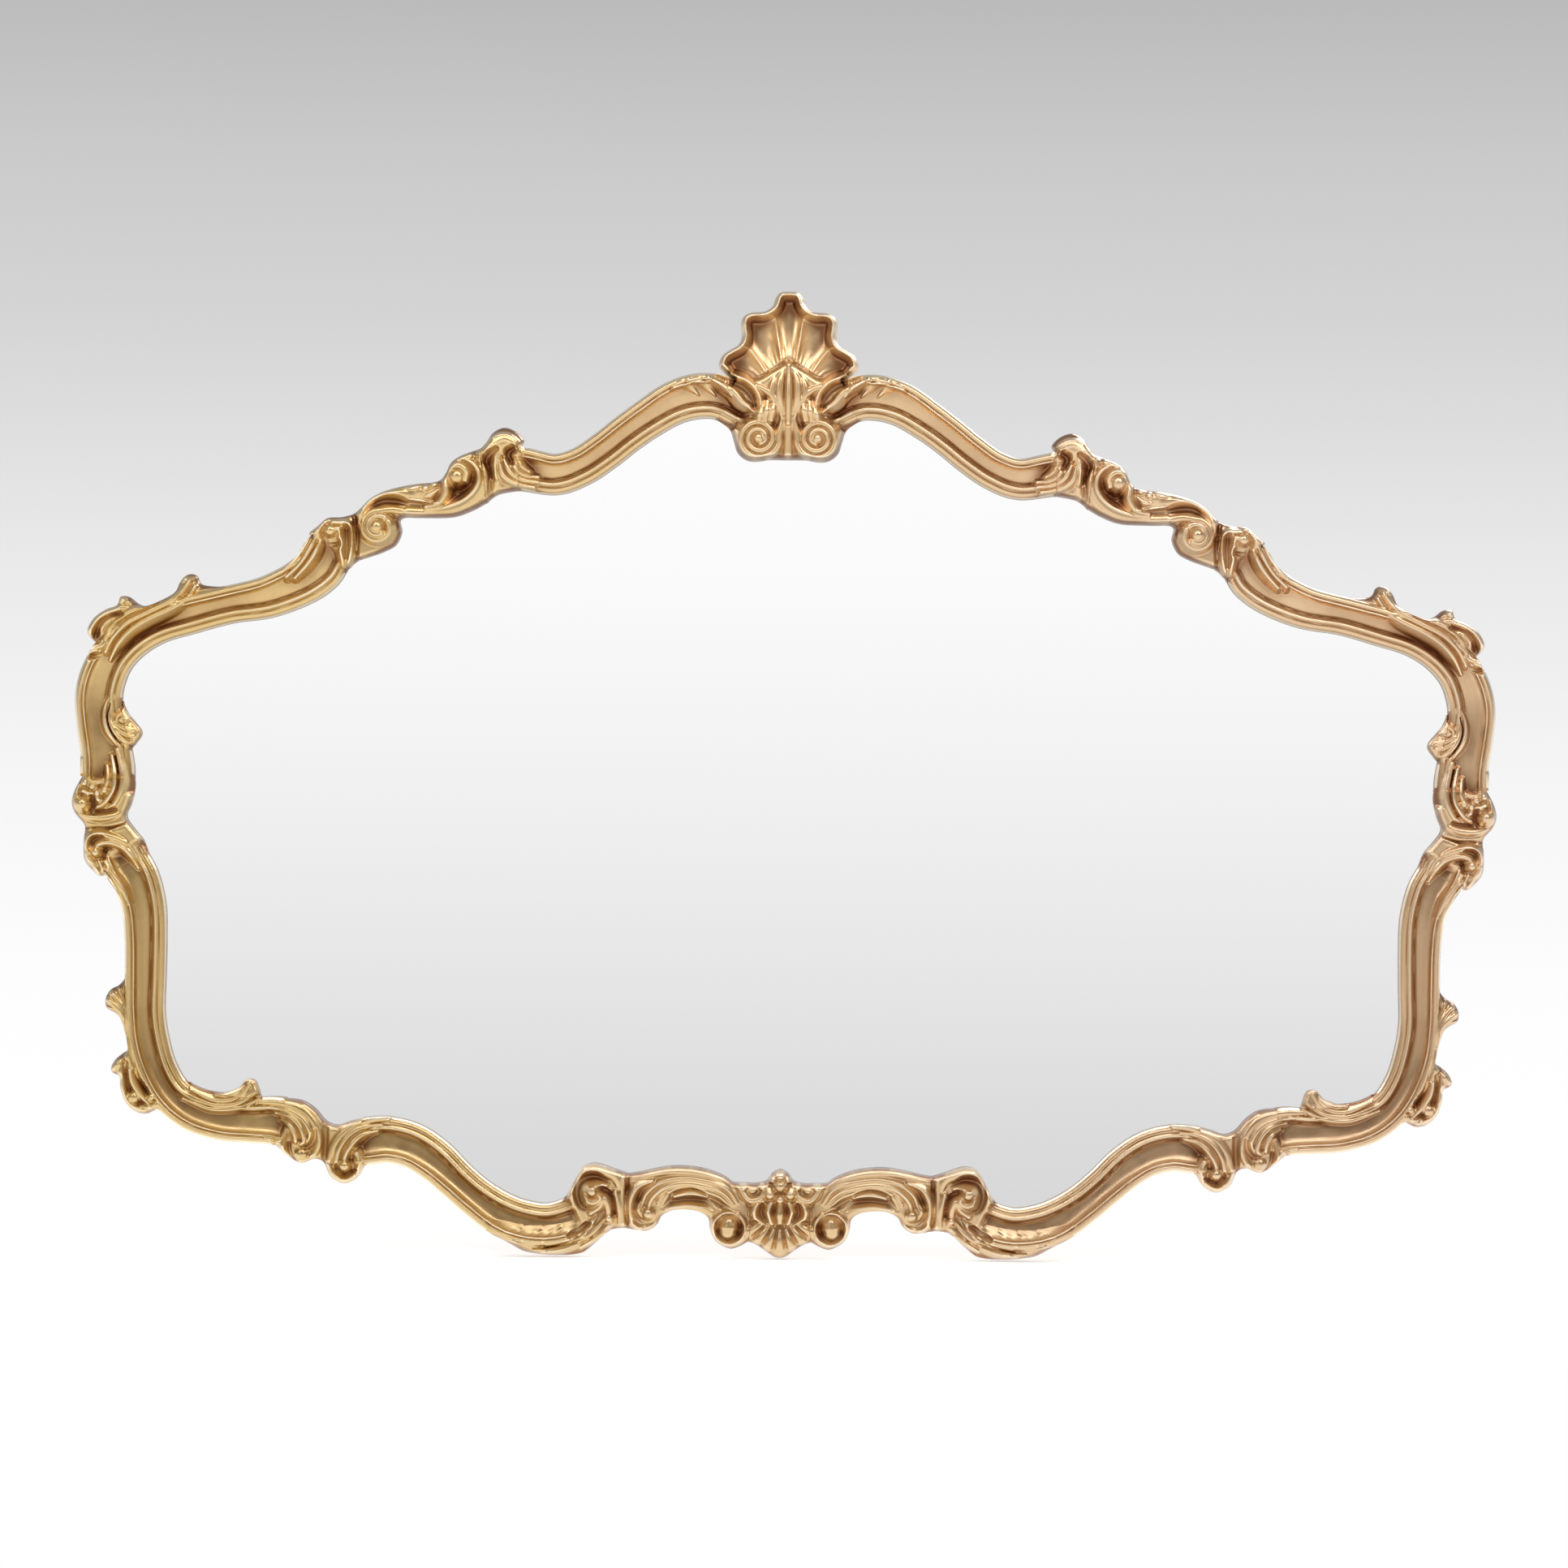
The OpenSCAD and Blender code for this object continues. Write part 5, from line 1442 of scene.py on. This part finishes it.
def plyRing():                # six lapped segments, arrises sanded
    for part in ("top", "bottom", "upper_left", "upper_right", "lower_left", "lower_right"):
        node = "carcass_" + part
        finish = plyAcross if part in ("top", "bottom") else plyUpright
        placePiece(easedCopy(node, easing["ring"]), node, [finish])


def mirrorPlate():            # silvered in front, painted behind, its edge ground
    form = easedCopy("mirror_plate", easing["glass"])
    for face in form.faces:
        facing = face.normal.y
        face.material_index = 0 if facing < -squareOn else 1 if facing > squareOn else 2
    placePiece(form, "mirror_plate", [silver, backPaint, groundEdge])


def boardAndBlocks():
    board = easedCopy("backing_board", easing["board"])
    placePiece(board, "backing_board", [hardboard])
    blocks = easedCopy("setting_blocks", easing["blocks"])
    placePiece(blocks, "setting_blocks", [pine])


def turnButtons():
    for place in ("crest", "shoulder", "side", "base"):
        for side in ("left", "right"):
            node = f"turn_button_{place}_{side}"
            form = mergedCopy(node)
            faces = [face for face in form.faces if face.normal.y > squareOn]
            for margin, deep in ((stamped["margin"], 0), (stamped["slope"], stamped["deep"])):
                bmesh.ops.inset_region(form, faces=faces, thickness=margin * mm, depth=-deep * mm,
                                       use_even_offset=True)
            easeEdges(form, easing["button"])
            placePiece(form, node, [zinc], node, 30)


screws = {
    # node: (head radius, head height, shank radius, shank length, depth of the head's seat,
    # and whether the head is sunk in)
    "button_screws": (3.4, 1.6, 1.7, 9.6, 6.4, False),
    "strap_screws": (3.2, 1.4, 1.75, 9.2, 6.8, False),
    "lap_screws": (3.4, 1.9, 1.75, 9.0, 8.0, True),
}
screwTip = 1.6                # length of the point
# of the punch for the cross: an arm's breadth, its height, an arm's reach, taper to the bottom
punchSize = (0.9, 2.2, 1.15, 0.6)


def solidPlaces(node):        # the middle of each solid of a node, in x and z
    form = mergedCopy(node)
    left, middles = dict.fromkeys(form.verts), []
    while left:
        stack, group = [left.popitem()[0]], []
        while stack:
            vert = stack.pop()
            group.append(vert.co)
            for edge in vert.link_edges:
                other = edge.other_vert(vert)
                if other in left:
                    del left[other]
                    stack.append(other)
        spread = np.array([tuple(co) for co in group]) / mm
        middles.append(tuple((spread.min(0) + spread.max(0))[[0, 2]] / 2))
    form.free()
    return sorted({(round(x, 1), round(z, 1)): (x, z) for x, z in sorted(middles)}.values())


def spunScrew(form, x, z, head, tall, shank, long, seat, sunk):
    if sunk:
        line = [(0, 0), (head - 0.2, 0), (head, -0.15), (shank, -tall)]
    else:
        line = [(0, tall), (0.45 * head, tall), (0.75 * head, 0.9 * tall),
                (0.93 * head, 0.62 * tall), (head, 0.25 * tall), (head, 0), (shank, 0)]
    line += [(shank, screwTip - long), (0, -long)]
    corners = [form.verts.new(((x + out) * mm, (up - seat) * mm, z * mm)) for out, up in line]
    edges = [form.edges.new(pair) for pair in zip(corners, corners[1:])]
    bmesh.ops.spin(form, geom=corners + edges, cent=(x * mm, 0, z * mm), axis=(0, 1, 0),
                   angle=2 * math.pi, steps=36, use_merge=True)


def crossPunch(form, x, z, top, turn):         # the cutter for a cross recess
    broad, tall, arm, taper = punchSize
    made = bmesh.ops.create_cube(form, size=1)["verts"]
    bmesh.ops.scale(form, vec=(broad * mm, tall * mm, broad * mm), verts=made)
    faces = dict.fromkeys(face for vert in made for face in vert.link_faces)
    faces = [face for face in faces if abs(face.normal.y) < wallMost]
    for side in bmesh.ops.extrude_discrete_faces(form, faces=faces)["faces"]:
        bmesh.ops.translate(form, vec=side.normal * arm * mm, verts=side.verts)
        made += list(side.verts)
    made = list(dict.fromkeys(made))
    bmesh.ops.scale(form, vec=(taper, 1, taper), verts=[vert for vert in made if vert.co.y < 0])
    place = Matrix.Translation((x * mm, top * mm, z * mm)) @ Matrix.Rotation(turn, 4, "Y")
    bmesh.ops.transform(form, matrix=place, verts=made)


def inOrder(mesh):            # the same shape in one fixed order, as the solver's order varies
    places = [tuple(vert.co) for vert in mesh.vertices]
    order = sorted(range(len(places)), key=lambda k: [round(c, 6) for c in places[k]])
    rank = {k: number for number, k in enumerate(order)}
    rings = []
    for face in mesh.polygons:
        ring = [rank[k] for k in face.vertices]
        first = ring.index(min(ring))
        rings.append(ring[first:] + ring[:first])
    tidy = bpy.data.meshes.new(mesh.name)
    tidy.from_pydata([places[k] for k in order], [], sorted(rings))
    return tidy


def woodScrews():
    turns = np.random.default_rng(11)
    for node, (head, tall, shank, long, seat, sunk) in screws.items():
        heads, punches = bmesh.new(), bmesh.new()
        for x, z in solidPlaces(node):
            spunScrew(heads, x, z, head, tall, shank, long, seat, sunk)
            top = -seat + (0 if sunk else tall)
            crossPunch(punches, x, z, top, turns.uniform(0, math.pi / 2))
        bmesh.ops.remove_doubles(heads, verts=heads.verts, dist=weldWithin)
        for form in (heads, punches):
            bmesh.ops.recalc_face_normals(form, faces=form.faces)
        blank = newObject("heads", meshOf(heads, "heads"))
        punch = newObject("punches", meshOf(punches, "punches"))
        bite = blank.modifiers.new("recess", "BOOLEAN")
        bite.operation = "DIFFERENCE"
        bite.solver = "EXACT"
        bite.object = punch
        result = formOf(inOrder(appliedMesh(blank)))
        bpy.data.objects.remove(punch)
        placePiece(result, node, [zinc], "root", 35)


def hangers():                # pressed straps with a rolled eye, and the D rings in them
    for side in ("left", "right"):
        strap, ring = "strap_hanger_" + side, "hanging_ring_" + side
        placePiece(easedCopy(strap, easing["strap"]), strap, [zinc], "root", 30)
        placePiece(mergedCopy(ring), ring, [brass], ring, 50)


def corkBumpers():
    bumpers = easedCopy("wall_bumpers", easing["bumper"], 3)
    placePiece(bumpers, "wall_bumpers", [cork])


plyRing()
mirrorPlate()
boardAndBlocks()
print("ring, glass and board placed")
turnButtons()
woodScrews()
hangers()
corkBumpers()
print("fittings placed")
